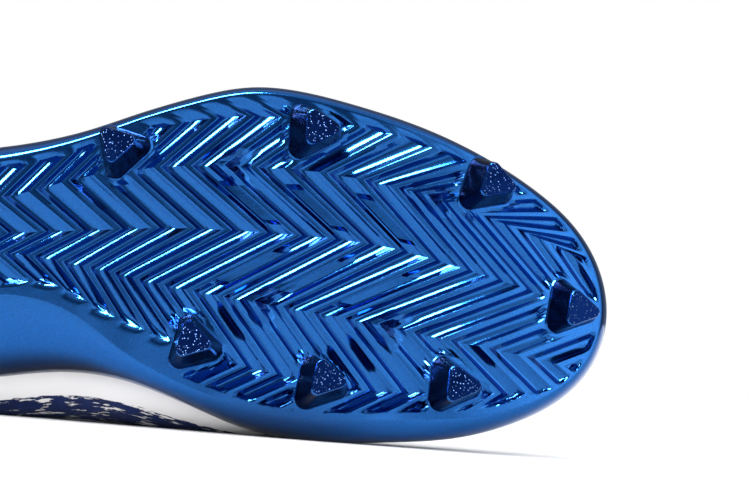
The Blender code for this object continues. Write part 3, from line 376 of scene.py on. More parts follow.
def closed_spline(points, at, spacing=None):
    """The periodic cubic spline through rows of values, read at places counted in rows."""
    points = np.asarray(points, float)
    count = len(points)
    step = np.ones(count) if spacing is None else np.asarray(spacing, float)
    ahead = np.roll(points, -1, axis=0)
    slope = (ahead - points) / step[:, None]
    system = np.zeros((count, count))
    for i in range(count):
        h = i - 1
        system[i, h % count] += step[h]
        system[i, i] += 2 * (step[h] + step[i])
        system[i, (i + 1) % count] += step[i]
    bend = np.linalg.solve(system, 6 * (slope - np.roll(slope, 1, axis=0)))
    at = np.asarray(at, float) % count
    i = np.minimum(at.astype(int), count - 1)
    j = (i + 1) % count
    h = step[i][:, None]
    t = (at - i)[:, None] * h
    first = slope[i] - h * (2 * bend[i] + bend[j]) / 6
    return points[i] + t * (first + t * (bend[i] / 2 + t * (bend[j] - bend[i]) / (6 * h)))


def run_along(lines):
    """Length so far at each point of lines of points."""
    run = np.cumsum(np.linalg.norm(np.diff(lines, axis=-2), axis=-1), axis=-1)
    return np.concatenate([np.zeros_like(run[..., :1]), run], axis=-1)


def dense_outline():
    """The outline's dense rows, the length so far at each, and the length at the toe."""
    rows = np.array(OUTLINE) * (SOLE_LENGTH, HALF, 1, 1)
    chord = np.linalg.norm(np.roll(rows, -1, axis=0)[:, :2] - rows[:, :2], axis=1)
    at = np.arange(len(rows) * ROW_SAMPLES + 1) / ROW_SAMPLES
    line = closed_spline(rows, at, chord)
    run = run_along(line[:, :2])
    return line, run, run[TOE_ROW * ROW_SAMPLES]


LINE, RUN, TOE_RUN = dense_outline()


def outline_columns(run, *columns):
    """Columns of the dense outline at lengths along it."""
    return np.stack([np.interp(run % RUN[-1], RUN, LINE[:, c]) for c in columns], axis=-1)


def outline_at(run):
    """Points, outward normals and the edge and flank shares at lengths along the outline."""
    run = np.asarray(run, float)
    shares = np.maximum(outline_columns(run, 2, 3), 0)
    along = outline_columns(run + TANGENT_REACH, 0, 1) - outline_columns(run - TANGENT_REACH, 0, 1)
    along /= np.linalg.norm(along, axis=-1, keepdims=True)
    normal = np.stack([-along[..., 1], along[..., 0]], axis=-1)
    return outline_columns(run, 0, 1), normal, shares[..., 0], shares[..., 1]


KEEL_CURVES = curves(KEEL)


def tread_height(x, y):
    """Height of the ridges' crests above the ground."""
    heel, arch, toe = (curve(np.asarray(x) / SOLE_LENGTH) for curve in KEEL_CURVES)
    rise = HEEL_LIFT * heel + ARCH_RISE * arch + TOE_SPRING * toe
    return STUD_HEIGHT + rise + CROWN_RISE * (np.asarray(y) / HALF) ** 2


class Rim:
    """The plate's loops at a number of places along its outline."""

    def __init__(self, run):
        self.point, self.normal, edge, flank = outline_at(run)
        self.flank = flank
        self.inset = EDGE_WIDTH * edge + FLANK_WIDTH * flank
        self.floor_inset = LIP_THICKNESS + MM + FLANK_WIDTH * flank
        self.tread = tread_height(*self.inward(self.inset).T)
        self.lip = self.tread + LIP_HEIGHT + FLANK_RISE * flank
        self.pocket = self.lip - (LIP_HEIGHT - PLATE_THICKNESS)

    def inward(self, distance):
        return self.point - self.normal * np.reshape(distance, (-1, 1))

    def loop(self, distance, height):
        return np.column_stack([self.inward(distance), np.broadcast_to(height, len(self.lip))])


def inside(points, polygon):
    """Which points lie in a closed polygon."""
    x, y = points[:, 0, None], points[:, 1, None]
    ax, ay = polygon[:, 0], polygon[:, 1]
    bx, by = np.roll(ax, -1), np.roll(ay, -1)
    crosses = (ay > y) != (by > y)
    safe = np.where(by == ay, 1, by - ay)
    left = x < (bx - ax) * (y - ay) / safe + ax
    return (crosses & left).sum(axis=1) % 2 == 1


def distance_to(points, polygon):
    """Distance from each point to a closed polygon's sides."""
    a, b = polygon, np.roll(polygon, -1, axis=0)
    side = b - a
    length = (side * side).sum(-1)
    found = []
    for part in np.array_split(points, max(1, len(points) // 4000)):
        offset = part[:, None] - a
        t = np.clip((offset * side).sum(-1) / length, 0, 1)
        found.append(np.linalg.norm(offset - t[..., None] * side, axis=-1).min(axis=1))
    return np.concatenate(found)


def triangulated(loop, lines):
    """Triangles of the region in a loop, with edges along the given lines.

    Returns the points, each point's number in the input or -1 for a new one, and the triangles.
    """
    edges = [(i, (i + 1) % len(loop)) for i in range(len(loop))]
    start = len(loop)
    for line in lines:
        edges += [(start + i, start + i + 1) for i in range(len(line) - 1)]
        start += len(line)
    places = [Vector(p / MM) for p in np.concatenate([loop, *lines])]
    made = delaunay_2d_cdt(places, edges, [], 0, 1e-4)
    flat = np.array([tuple(v) for v in made[0]]) * MM
    source = np.array([old[0] if old else -1 for old in made[3]])
    triangles = np.array([tuple(f) for f in made[2]])
    centres = flat[triangles].mean(axis=1)
    return flat, source, triangles[inside(centres, loop)]


ZIGZAG_CURVES = curves(ZIGZAG)


def zigzag(ridge, per_arm):
    """Points along one zigzag, with per_arm steps on each of its arms."""
    corners = np.array([curve(ridge) for curve in ZIGZAG_CURVES]).reshape(-1, 2) * (SOLE_LENGTH, HALF)
    at = np.arange(ARMS * per_arm + 1) / per_arm
    return np.stack([np.interp(at, np.arange(ARMS + 1), c) for c in corners.T], axis=-1)


def kept_steps(line, loop):
    """The stretches of a finely stepped line inside a loop, as step numbers.

    A stretch keeps every ARM_FINE-th step, and near the loop those at set distances from it.
    """
    flags = inside(line, loop)
    coarse = distance_to(line[::ARM_FINE], loop)
    near = np.interp(np.arange(len(line)), np.arange(len(coarse)) * ARM_FINE, coarse)
    away = np.where(flags, near, 0)
    close = near < SLOT_FADE + 3 * MM
    away[close] = np.where(flags[close], distance_to(line[close], loop), 0)
    level = np.searchsorted(SLOT_STEPS, away)
    change = (level != np.roll(level, 1)) | (level != np.append(level[1:], level[-1]))
    keep = (level > 0) & (change | (np.arange(len(line)) % ARM_FINE == 0))
    stretches = np.split(np.arange(len(line)), np.flatnonzero(level == 0))
    stretches = [steps[keep[steps]] for steps in stretches]
    return [steps for steps in stretches if len(steps) > 1]


def rounded_triangle(radius, corner, per_corner, per_side=0):
    """A triangle of that corner radius, as points round its centre."""
    corners = []
    for k in range(3):
        middle = math.radians(STUD_CORNER_TURN + 120 * k)
        centre = (radius - corner) * np.array([math.cos(middle), math.sin(middle)])
        turns = middle + np.radians(np.linspace(-60, 60, per_corner))
        corners.append(centre + corner * np.column_stack([np.cos(turns), np.sin(turns)]))
    points = []
    for this, following in zip(corners, corners[1:] + corners[:1]):
        points += [*this, *np.linspace(this[-1], following[0], per_side + 2)[1:-1]]
    return np.array(points)


def groove_share(points):
    """How much of the groove's depth is left near the studs."""
    share = np.ones(len(points))
    triangle = rounded_triangle(STUD_BASE_RADIUS, STUD_CORNERS[0] * STUD_BASE_RADIUS, 6)
    for x, y, turn, *_ in STUDS:
        centre = np.array((x * SOLE_LENGTH, y * HALF))
        near = np.linalg.norm(points - centre, axis=1) < 2 * STUD_BASE_RADIUS + PAD_WIDTH + PAD_FADE
        if not near.any():
            continue
        turned = np.array(Matrix.Rotation(math.radians(turn), 2))
        shape = centre + triangle @ turned.T * (1, -1)
        away = distance_to(points[near], shape)
        away[inside(points[near], shape)] = 0
        share[near] *= smoothstep((away - PAD_WIDTH) / PAD_FADE)
    return share


def ridge_relief(phase, arm, depth, length):
    """Depth and outward rise of field points, with the pockets and the raised ridge corners.

    The phase counts ridges from the heel, the arm counts corners from the lateral rim, and the
    length is that of the point's own arm.
    """
    rise = np.zeros(len(phase))
    for ridge, corner in PEAKS:
        offset = phase - ridge
        reach = np.abs(arm - corner) * length / PEAK_REACH
        heel_side = np.clip((offset + PEAK_HEEL_END) / PEAK_HEEL_BLEND, 0, 1)
        toe_side = smoothstep((PEAK_TOE_END - offset) / PEAK_TOE_BLEND)
        share = smoothstep(PEAK_TOP * (1 - reach)) * heel_side * toe_side
        rise = np.maximum(rise, PEAK_RISE * share)
    for number, near, far in POCKET_EDGES:
        spanned = (arm - number > POCKET_SPAN[0]) & (arm - number < POCKET_SPAN[1])
        for ridge in POCKET_RIDGES:
            offset = (phase - ridge) / np.sign(near)
            between = (offset > abs(near) - 1e-6) & (offset < abs(far) + 1e-6)
            depth = np.where(spanned & between, POCKET_DEPTH, depth)
    return depth, rise


def tread_field(rim):
    """The grooved underside inside the rim: points, heights and triangles, the loop's first."""
    loop = rim.inward(rim.inset)
    lines, notes = [], [np.tile(LOOP_NOTES, (len(loop), 1))]
    for ridge in range(FIRST_RIDGE, LAST_RIDGE + 1):
        for offset, depth in RIDGE_SECTION:
            line = zigzag(ridge + offset, ARM_STEPS * ARM_FINE)
            arm_length = np.linalg.norm(np.diff(line[:: ARM_STEPS * ARM_FINE], axis=0), axis=1)
            for steps in kept_steps(line, loop):
                arm = steps / (ARM_STEPS * ARM_FINE)
                length = arm_length[np.minimum(arm.astype(int), ARMS - 1)]
                same = np.ones(len(steps))
                lines.append(line[steps])
                notes.append(np.column_stack([same * (ridge + offset), arm, same * depth, length]))
    flat, source, triangles = triangulated(loop, lines)
    phase, arm, depth, length = np.concatenate([*notes, [NEW_POINT_NOTES]])[source].T
    depth, rise = ridge_relief(phase, arm, depth, length)
    last_arm = smoothstep((arm - LAST_ARM) / LAST_ARM_BLEND)
    plain = smoothstep((LAST_PLAIN - phase) / PLAIN_BLEND)
    away = distance_to(flat, loop) - MEDIAL_MARGIN * last_arm
    fade = np.where(arm < 1, SCOOP_FADE, SLOT_FADE)
    share = depth * smoothstep(away / fade) * groove_share(flat)
    share *= 1 + last_arm * np.where(plain > 0, -plain, MEDIAL_DEPTH - 1)
    heights = tread_height(*flat.T) + GROOVE_DEPTH * share - rise
    order = np.full(len(loop), -1)
    for i, s in enumerate(source):
        if 0 <= s < len(loop):
            order[s] = i
    heights[order] = rim.tread
    return flat, heights, triangles, order


def band(first, second):
    """Quads between two closed loops of point numbers."""
    return list(zip(first, np.roll(first, -1), np.roll(second, -1), second))


def tube(start, count, rings):
    """Faces of a closed tube whose rings' points are numbered from start: sides, then ends."""
    faces = []
    for ring in range(rings - 1):
        low = start + ring * count + np.arange(count)
        faces += band(low, low + count)
    last = start + (rings - 1) * count
    return [*faces, range(start, start + count), range(last, last + count)]


def laid(points):
    """Points of the shoe's own frame, in the row frame."""
    points = np.asarray(points, float)
    turn = np.array(LAY.to_3x3())
    return points @ turn.T + np.array(LAY.translation)


def linked(name, data):
    """A new object in the scene."""
    obj = bpy.data.objects.new(name, data)
    bpy.context.scene.collection.objects.link(obj)
    return obj


def outward_mesh(name, points, faces):
    """A mesh from points of the shoe's frame, its faces turned outwards."""
    mesh = bpy.data.meshes.new(name)
    mesh.from_pydata([tuple(p) for p in laid(points)], [], [tuple(map(int, f)) for f in faces])
    shape = bmesh.new()
    shape.from_mesh(mesh)
    bmesh.ops.recalc_face_normals(shape, faces=shape.faces)
    if shape.calc_volume(signed=True) < 0:
        bmesh.ops.reverse_faces(shape, faces=shape.faces)
    shape.to_mesh(mesh)
    shape.free()
    return mesh


def mesh_object(name, points, faces, materials, smooth_angle, numbers=None):
    """A named piece from points of the shoe's frame, riding on the root."""
    mesh = outward_mesh(name, points, faces)
    for material in materials:
        mesh.materials.append(material)
    if numbers is not None:
        mesh.polygons.foreach_set("material_index", np.asarray(numbers, np.int32))
    mesh.shade_smooth()
    mesh.set_sharp_from_angle(angle=math.radians(smooth_angle))
    obj = linked(name, mesh)
    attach(obj, "root")
    return obj


def add_attribute(obj, name, values):
    """One number for each point, for the materials to read."""
    layer = obj.data.attributes.new(name, "FLOAT", "POINT")
    layer.data.foreach_set("value", np.asarray(values, np.float32))


def build_sole(material):
    """The plate with its grooved field, rounded rim, flank and lip."""
    rim = Rim(np.arange(RIM_SAMPLES) / RIM_SAMPLES * RUN[-1])
    flat, heights, triangles, before = tread_field(rim)
    points, faces = [np.column_stack([flat, heights])], list(triangles)
    loops, bands = [], []
    first_turn = FLANK_CREASE * np.minimum(rim.flank, 1)
    for step in range(1, WALL_STEPS + 1):
        turn = first_turn + (math.pi / 2 - first_turn) * step / WALL_STEPS
        across = (np.sin(turn) - np.sin(first_turn)) / (1 - np.sin(first_turn))
        rise = (np.cos(first_turn) - np.cos(turn)) / np.cos(first_turn)
        loops.append(rim.loop(rim.inset * (1 - across), rim.tread + (rim.lip - rim.tread) * rise))
        # Share of painted shade along the wall's outer part, on the flank
        bands.append(smoothstep((across - PAINTED_SHADE_BAND[0]) / PAINTED_SHADE_BAND[1]) * np.minimum(rim.flank * 2, 1))
    loops.append(rim.loop(LIP_THICKNESS, rim.lip))
    loops.append(rim.loop(LIP_THICKNESS, rim.pocket))
    loops.append(rim.loop(rim.floor_inset, rim.tread + PLATE_THICKNESS))
    start = first_wall = len(flat)
    for loop in loops:
        ring = start + np.arange(RIM_SAMPLES)
        points.append(loop)
        faces += band(before, ring)
        before = ring
        start += RIM_SAMPLES
    floor_ring = rim.inward(rim.floor_inset)
    x, y = np.meshgrid(np.arange(-1, 62) * FLOOR_GRID, np.arange(-11, 12) * FLOOR_GRID)
    loose = np.column_stack([x.ravel(), y.ravel()])
    loose = loose[inside(loose, floor_ring)]
    loose = loose[distance_to(loose, floor_ring) > 2 * MM]
    flat, source, triangles = triangulated(floor_ring, loose[:, None])
    heights = tread_height(*flat.T) + PLATE_THICKNESS
    number = np.where(source < RIM_SAMPLES, before[np.clip(source, 0, RIM_SAMPLES - 1)], 0)
    extra = np.flatnonzero(source >= RIM_SAMPLES)
    number[extra] = start + np.arange(len(extra))
    faces += list(number[triangles])
    points = np.concatenate([*points, np.column_stack([flat, heights])[extra]])
    sole = mesh_object("sole_plate", points, faces, [material], 24)
    # Painted shade: darkens the outer part of the flank's wall, and the chrome near the floor towards
    # the front, where it would reflect shade and the floor's contact shadow
    painted_shade = np.zeros(len(points))
    painted_shade[first_wall : first_wall + WALL_STEPS * RIM_SAMPLES] = np.concatenate(bands)
    low = smoothstep((PAINTED_SHADE_HEIGHT - laid(points)[:, 2]) / PAINTED_SHADE_HEIGHT)
    fore = smoothstep((PAINTED_SHADE_END - points[:, 0]) / PAINTED_SHADE_FADE)
    add_attribute(sole, "painted_shade", np.maximum(painted_shade, low * fore))
    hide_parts("outsole")


def stud_points(x, y, turn, lean):
    """Points of one stud, ring after ring, and how many each ring has."""
    reach = SLOPE_REACH
    slope_x = float(tread_height(x + reach, y) - tread_height(x - reach, y)) / (2 * reach)
    slope_y = float(tread_height(x, y + reach) - tread_height(x, y - reach)) / (2 * reach)
    down = Vector((slope_x, slope_y, -1)).normalized()
    forward = Vector((1, 0, slope_x)).normalized()
    side = down.cross(forward).normalized()
    axis = down + forward * lean[0] - side * lean[1]
    foot = Vector((x, y, float(tread_height(x, y))))
    turned = Matrix.Rotation(math.radians(turn), 2)
    points, count = [], 0
    for share, rise in STUD_SECTION:
        corner = STUD_CORNERS[0] + (STUD_CORNERS[1] - STUD_CORNERS[0]) * max(rise, 0)
        ring = rounded_triangle(STUD_BASE_RADIUS * share, corner * STUD_BASE_RADIUS * share, 8, 4)
        count = len(ring)
        for p in ring:
            across = turned @ Vector(p)
            points.append(foot + forward * across.x + side * across.y + axis * STUD_HEIGHT * rise)
    return points, count


def build_studs(chrome, walls, tips):
    """All studs as one piece of closed shells."""
    points, faces, numbers = [], [], []
    for x, y, turn, *lean in STUDS:
        made, count = stud_points(x * SOLE_LENGTH, y * HALF, turn, lean)
        faces += tube(len(points), count, len(STUD_SECTION))
        for ring in range(len(STUD_SECTION) - 1):
            numbers += [2 if ring in STUD_EDGES else 0] * count
        numbers += [0, 1]
        points += made
    mesh_object("studs", points, faces, [walls, tips, chrome], 40, numbers)


def rib_rows():
    """The ribs' table as one closed ring of rows, with the foot as a length along the outline."""
    rows = [(share * TOE_RUN, *rest) for share, *rest in MEDIAL_RIBS]
    for (share, x, *_), rest in list(zip(MEDIAL_RIBS[1:], LATERAL_RIBS))[::-1]:
        rows.append((RUN[-1] - share * (RUN[-1] - TOE_RUN), x, *rest))
    scale = (1, SOLE_LENGTH, HALF, INSTEP_HEIGHT, HALF, INSTEP_HEIGHT, HALF, INSTEP_HEIGHT)
    return np.array(rows) * scale


RIB_ROWS = rib_rows()


def rib_values(ribs):
    """The rib table read between its rows, its foot as a lead over the row number."""
    rows = RIB_ROWS.copy()
    even = RUN[-1] / len(rows)
    rows[:, 0] -= np.arange(len(rows)) * even
    values = closed_spline(rows, ribs)
    values[:, 0] += (np.asarray(ribs, float) % len(rows)) * even
    return values


def throat_share(ribs):
    """1 along the throat and 0 along the collar, with a short ramp between them."""
    number = np.minimum(ribs, len(RIB_ROWS) - np.asarray(ribs, float))
    return np.clip((number - THROAT_RIB) / 0.5, 0, 1)


def rib_curve(ribs, levels):
    """Points of the upper's base surface, one row for each rib."""
    values = rib_values(ribs)
    rim = Rim(values[:, 0])
    foot = rim.loop(LIP_THICKNESS + CLEARANCE, rim.lip + FOOT_RISE)
    edge = values[:, 1:4]
    toward = foot - edge
    toward[:, 2] = 0
    toward[:, :2] += rim.normal * TOWARD_LEAN
    toward /= np.linalg.norm(toward, axis=1, keepdims=True)
    outward = np.column_stack([rim.normal, np.zeros(len(foot))])
    up = np.array([0.0, 0.0, 1.0])
    leave = foot + outward * values[:, 4:5] + up * values[:, 5:6]
    arrive = edge + toward * values[:, 6:7] - up * values[:, 7:8]
    t = np.atleast_2d(np.asarray(levels, float))[..., None]
    s = 1 - t
    return (
        s**3 * foot[:, None]
        + 3 * s**2 * t * leave[:, None]
        + 3 * s * t**2 * arrive[:, None]
        + t**3 * edge[:, None]
    )


def surface_normals(ribs, levels):
    """Outward normals of the base surface."""
    da, db = 0.02, 0.004
    ribs, levels = np.asarray(ribs, float), np.asarray(levels, float)
    low, high = np.maximum(levels - db, 0), np.minimum(levels + db, 1)
    along = rib_curve(ribs + da, levels) - rib_curve(ribs - da, levels)
    across = rib_curve(ribs, high) - rib_curve(ribs, low)
    normal = np.cross(across, along)
    return normal / np.linalg.norm(normal, axis=-1, keepdims=True)


def levels_at(ribs, distance):
    """The level on each rib that lies a distance in from the opening's edge."""
    levels = np.linspace(1, 0.2, 41)
    run = run_along(rib_curve(ribs, levels))
    return np.array([np.interp(distance, r, levels) for r in run])


def eyelets(side):
    """Centre and outward normal of each eyelet, top to bottom, on side 0, medial, or 1, lateral."""
    numbers = np.linspace(*EYELET_RIBS, 60)
    line = rib_curve(numbers, levels_at(numbers, EYELET_INSET)[:, None])[:, 0]
    run = run_along(line)
    numbers = np.interp(np.linspace(0, run[-1], EYELET_COUNT), run, numbers)
    ribs = len(RIB_ROWS) - numbers if side else numbers
    levels = levels_at(ribs, EYELET_INSET)[:, None]
    centres, normals = rib_curve(ribs, levels)[:, 0], surface_normals(ribs, levels)[:, 0]
    return [(Vector(c), Vector(n)) for c, n in zip(centres, normals)]


def outer_grid(ribs):
    """The upper's outer surface from foot to opening, and each point's rise along its rib."""
    stay = levels_at(ribs, EYESTAY_WIDTH)[:, None]
    lower = np.linspace(0, 1, OUTER_LEVELS) ** 1.1
    beyond = stay + (1 - stay) * np.linspace(*STAY_LEVELS)
    top = np.ones((len(ribs), 1))
    levels = np.hstack([stay * lower, np.minimum(stay + STAY_STEP, 1), beyond, top])
    offset = np.zeros_like(levels)
    offset[:, len(lower) :] = EYESTAY_STEP * throat_share(ribs)[:, None]
    offset[:, -1] -= UPPER_WALL / 3
    grid = rib_curve(ribs, levels) + surface_normals(ribs, levels) * offset[..., None]
    rim = Rim(rib_values(ribs)[:, 0])
    foot = rim.loop(LIP_THICKNESS + CLEARANCE, rim.pocket + CLEARANCE)
    return np.hstack([foot[:, None], grid]), np.pad(run_along(grid), ((0, 0), (1, 0)))


def inner_grid(ribs):
    """The upper's inner surface, padded along the collar."""
    stay = levels_at(ribs, EYESTAY_WIDTH)[:, None]
    beyond = stay + (1 - stay) * np.linspace(0, 1, PADDED_LEVELS + 1)[1:]
    levels = np.hstack([stay * np.linspace(0, 1, INNER_LEVELS), beyond])
    padding = np.zeros_like(levels)
    padding[:, INNER_LEVELS:] = np.sin(np.linspace(0.25, 0.93, PADDED_LEVELS) * math.pi) ** 0.7
    wall = UPPER_WALL + COLLAR_PADDING * padding * (1 - throat_share(ribs)[:, None])
    wall[:, -1] -= UPPER_WALL / 3
    grid = rib_curve(ribs, levels) - surface_normals(ribs, levels) * wall[..., None]
    rim = Rim(rib_values(ribs)[:, 0])
    inset = LIP_THICKNESS + CLEARANCE + UPPER_WALL
    grid[:, 0] = rim.loop(inset, rim.lip + FOOT_RISE)
    foot = rim.loop(inset, rim.pocket + CLEARANCE)
    return np.hstack([foot[:, None], grid])


def build_upper(outside, lining):
    """The hollow upper with its eyestay step and padded collar."""
    ribs = np.arange(UPPER_RIBS) / UPPER_RIBS * len(RIB_ROWS)
    outer, rise = outer_grid(ribs)
    inner = inner_grid(ribs)
    wide, narrow = outer.shape[1], inner.shape[1]
    points = np.concatenate([outer.reshape(-1, 3), inner.reshape(-1, 3)])
    start = UPPER_RIBS * wide
    faces, numbers = [], []
    for i in range(UPPER_RIBS):
        j = (i + 1) % UPPER_RIBS
        for k in range(wide - 1):
            faces.append((i * wide + k, j * wide + k, j * wide + k + 1, i * wide + k + 1))
            numbers.append(0)
        for k in range(narrow - 1):
            a, b = start + i * narrow + k, start + j * narrow + k
            faces.append((a, a + 1, b + 1, b))
            numbers.append(1)
        for a, b in ((0, 0), (wide - 1, narrow - 1)):
            faces.append((i * wide + a, j * wide + a, start + j * narrow + b, start + i * narrow + b))
            numbers.append(0)
    upper = mesh_object("upper_shell", points, faces, [outside, lining], 35, numbers)
    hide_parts("upper")
    blank = np.zeros(len(points) - start)
    top = outer[:, -1]
    run = np.cumsum(np.linalg.norm(top - np.roll(top, 1, axis=0), axis=1))
    add_attribute(upper, "rise", np.concatenate([rise.ravel() / MM, blank]))
    add_attribute(upper, "edge", np.concatenate([(rise[:, -1:] - rise).ravel() / MM, blank + 99]))
    add_attribute(upper, "run", np.concatenate([np.repeat(run, wide) / MM, blank]))
    add_attribute(upper, "along", points[:, 0] / MM)
    add_attribute(upper, "side", points[:, 1] / MM)
    cut_eyelets(upper)


def cut_eyelets(upper):
    """Punch the eyelet holes through the wall."""
    points, faces = [], []
    for centre, normal in eyelets(0) + eyelets(1):
        faces += tube(len(points), PUNCH_SIDES, 2)
        across = normal.orthogonal().normalized()
        other = normal.cross(across)
        for end in (-PUNCH_REACH, PUNCH_REACH):
            for turn in np.arange(PUNCH_SIDES) * 2 * math.pi / PUNCH_SIDES:
                spoke = across * math.cos(turn) + other * math.sin(turn)
                points.append(centre + normal * end + spoke * EYELET_RADIUS)
    mesh = outward_mesh("punch", points, faces)
    punch = linked("punch", mesh)
    punch.matrix_world = upper.matrix_world
    cut = upper.modifiers.new("eyelets", "BOOLEAN")
    cut.operation, cut.solver, cut.object = "DIFFERENCE", "EXACT", punch
    view = bpy.context.evaluated_depsgraph_get()
    upper.data = bpy.data.meshes.new_from_object(upper.evaluated_get(view))
    upper.modifiers.clear()
    bpy.data.objects.remove(punch)
    bpy.data.meshes.remove(mesh)


def smoothed_copy(node, name, material):
    """A CAD node's own form as quads, smoothed by subdivision."""
    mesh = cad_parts[node].data.copy()
    shape = bmesh.new()
    shape.from_mesh(mesh)
    bmesh.ops.remove_doubles(shape, verts=shape.verts, dist=1e-6)
    bmesh.ops.join_triangles(
        shape,
        faces=shape.faces,
        angle_face_threshold=math.radians(60),
        angle_shape_threshold=math.radians(80),
    )
    shape.to_mesh(mesh)
    shape.free()
    mesh.materials.clear()
    mesh.materials.append(material)
    obj = linked(name, mesh)
    modifier = obj.modifiers.new("rounded", "SUBSURF")
    modifier.levels = modifier.render_levels = 2
    mesh.shade_smooth()
    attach(obj, "root")
    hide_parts(node)
    return obj


def lace_bar(first, second, lift):
    """A flat ribbon from one eyelet to another, arched over the tongue, its ends in the holes."""
    height = EYESTAY_STEP + CLEARANCE + LACE_THICKNESS / 2 + lift
    (a, normal_a), (b, normal_b) = first, second
    chord = b - a
    start, end = a + normal_a * height, b + normal_b * height
    leave = (chord - normal_a * chord.dot(normal_a)).normalized()
    arrive = (-chord + normal_b * chord.dot(normal_b)).normalized()
    reach = LACE_ARCH * chord.length
    controls = (start, start + leave * reach, end + arrive * reach, end)
    rows = []
    for i in range(LACE_STEPS + 1):
        t = i / LACE_STEPS
        s = 1 - t
        weights = (s**3, 3 * s * s * t, 3 * s * t * t, t**3)
        slopes = (-s * s, s * s - 2 * s * t, 2 * s * t - t * t, t * t)
        centre = sum((p * w for p, w in zip(controls, weights)), Vector())
        along = sum((p * w for p, w in zip(controls, slopes)), Vector()).normalized()
        near = min(i, LACE_STEPS - i) / LACE_TAPER_STEPS
        width = LACE_WIDTH * (LACE_NARROW + (1 - LACE_NARROW) * smoothstep(near))
        rows.append((centre, along, normal_a.slerp(normal_b, t), float(width)))
    for depth in LACE_DIVE:
        lead = a - normal_a * depth - leave * LACE_TUCK
        trail = b - normal_b * depth - arrive * LACE_TUCK
        rows.insert(0, (lead, normal_a, -leave, LACE_WIDTH / 2))
        rows.append((trail, -normal_b, -arrive, LACE_WIDTH / 2))
    points = []
    for centre, along, up, width in rows:
        side = along.cross(up).normalized()
        up = side.cross(along).normalized()
        for k in range(LACE_SIDES):
            turn = 2 * math.pi * (k + 0.5) / LACE_SIDES
            across = math.copysign(abs(math.cos(turn)) ** 0.55, math.cos(turn))
            above = math.copysign(abs(math.sin(turn)) ** 0.7, math.sin(turn))
            points.append(centre + side * across * width / 2 + up * above * LACE_THICKNESS / 2)
    return points, tube(0, LACE_SIDES, len(rows))


def build_lace(material):
    """The bottom bar and the crossings up to the top pair of eyelets."""
    medial, lateral = eyelets(0), eyelets(1)
    bars = [lace_bar(medial[-1], lateral[-1], 0.2 * MM)]
    for i in range(EYELET_COUNT - 1, 0, -1):
        bars.append(lace_bar(medial[i], lateral[i - 1], 0.1 * MM))
        bars.append(lace_bar(lateral[i], medial[i - 1], LACE_THICKNESS * 0.9))
    points, faces = [], []
    for made, sides in bars:
        faces += [[len(points) + k for k in face] for face in sides]
        points += made
    lace = mesh_object("lace_ribbons", points, faces, [material], 50)
    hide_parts("lace")


class Tree:
    """A node tree, with short ways to add, set and join nodes."""

    def __init__(self, owner):
        owner.use_nodes = True
        self.nodes, self.links = owner.node_tree.nodes, owner.node_tree.links

    def feed(self, source, target):
        """Join a socket to an input, or set the input to a number or a colour."""
        if isinstance(source, bpy.types.NodeSocket):
            self.links.new(source, target)
        else:
            target.default_value = source

    def node(self, kind, *sources, **settings):
        """A new node: settings go by name, and sources feed its inputs in turn."""
        made = self.nodes.new(kind)
        for key, value in settings.items():
            if key in made.inputs:
                made.inputs[key].default_value = value
            else:
                setattr(made, key, value)
        for source, target in zip(sources, made.inputs):
            self.feed(source, target)
        return made

    def math(self, operation, *sources, clamp=False):
        made = self.node("ShaderNodeMath", *sources, operation=operation, use_clamp=clamp)
        return made.outputs["Value"]

    def times(self, first, second, clamp=False):
        return self.math("MULTIPLY", first, second, clamp=clamp)


class Shader(Tree):
    """A material with one surface shader."""

    def __init__(self, name, colour, roughness, **inputs):
        self.material = bpy.data.materials.new(name)
        super().__init__(self.material)
        self.surface = self.nodes["Principled BSDF"].inputs
        inputs |= {"Base_Color": (*colour, 1), "Roughness": roughness}
        for key, value in inputs.items():
            self.surface[key.replace("_", " ")].default_value = value

    def place(self):
        """The place in the row frame."""
        return self.node("ShaderNodeTexCoord").outputs["Object"]

    def vector(self, *parts):
        return self.node("ShaderNodeCombineXYZ", *parts).outputs["Vector"]

    def noise(self, vector, scale, detail, rough):
        made = self.node("ShaderNodeTexNoise", vector, Scale=scale, Detail=detail, Roughness=rough)
        return made.outputs["Fac"]

    def ramp(self, source, low, high, first, second):
        made = self.node("ShaderNodeValToRGB", source)
        start, end = made.color_ramp.elements
        start.position, end.position = low, high
        start.color, end.color = first, second
        return made.outputs["Color"]

    def mix(self, factor, first, second):
        made = self.node("ShaderNodeMix", factor, data_type="RGBA")
        self.feed(first, made.inputs[6])
        self.feed(second, made.inputs[7])
        return made.outputs[2]

    def bump(self, height, strength, distance, before=None):
        """Bump the surface, on top of an earlier bump."""
        made = self.node("ShaderNodeBump", Strength=strength, Distance=distance)
        self.feed(height, made.inputs["Height"])
        if before is not None:
            self.feed(before, made.inputs["Normal"])
        self.feed(made.outputs["Normal"], self.surface["Normal"])
        return made.outputs["Normal"]

    def attribute(self, name):
        return self.node("ShaderNodeAttribute", attribute_name=name).outputs["Fac"]

    def painted(self, colour):
        """The material, with this base colour."""
        self.feed(colour, self.surface["Base Color"])
        return self.material


def scaled(colour, share):
    return (*(share * c for c in colour), 1)


def chrome_material():
    """Metallised blue plastic with a fine flake and slight waves from the mould, with painted shade
    mixed in where the sole marks it.
    """
    shader = Shader("blue_chrome", CHROME, 0.14, Metallic=1, Coat_Weight=0.2, Coat_Roughness=0.05)
    place = shader.place()
    flake = shader.noise(place, FLAKE_SCALE, 2, 0.6)
    waves = shader.noise(place, WAVE_SCALE, 2, 0.5)
    shader.feed(shader.math("MULTIPLY_ADD", waves, 0.08, 0.07), shader.surface["Roughness"])
    tint = shader.ramp(flake, 0.3, 0.7, scaled(CHROME, 0.8), scaled(CHROME, 1.2))
    first = shader.bump(flake, 0.25, 0.06 * MM)
    shader.bump(waves, 0.15, 0.6 * MM, first)
    # Painted shade: the colour goes towards near-black blue by the sole's painted-shade attribute
    return shader.painted(shader.mix(shader.times(shader.attribute("painted_shade"), 0.88), tint, PAINTED_SHADE_COLOUR))


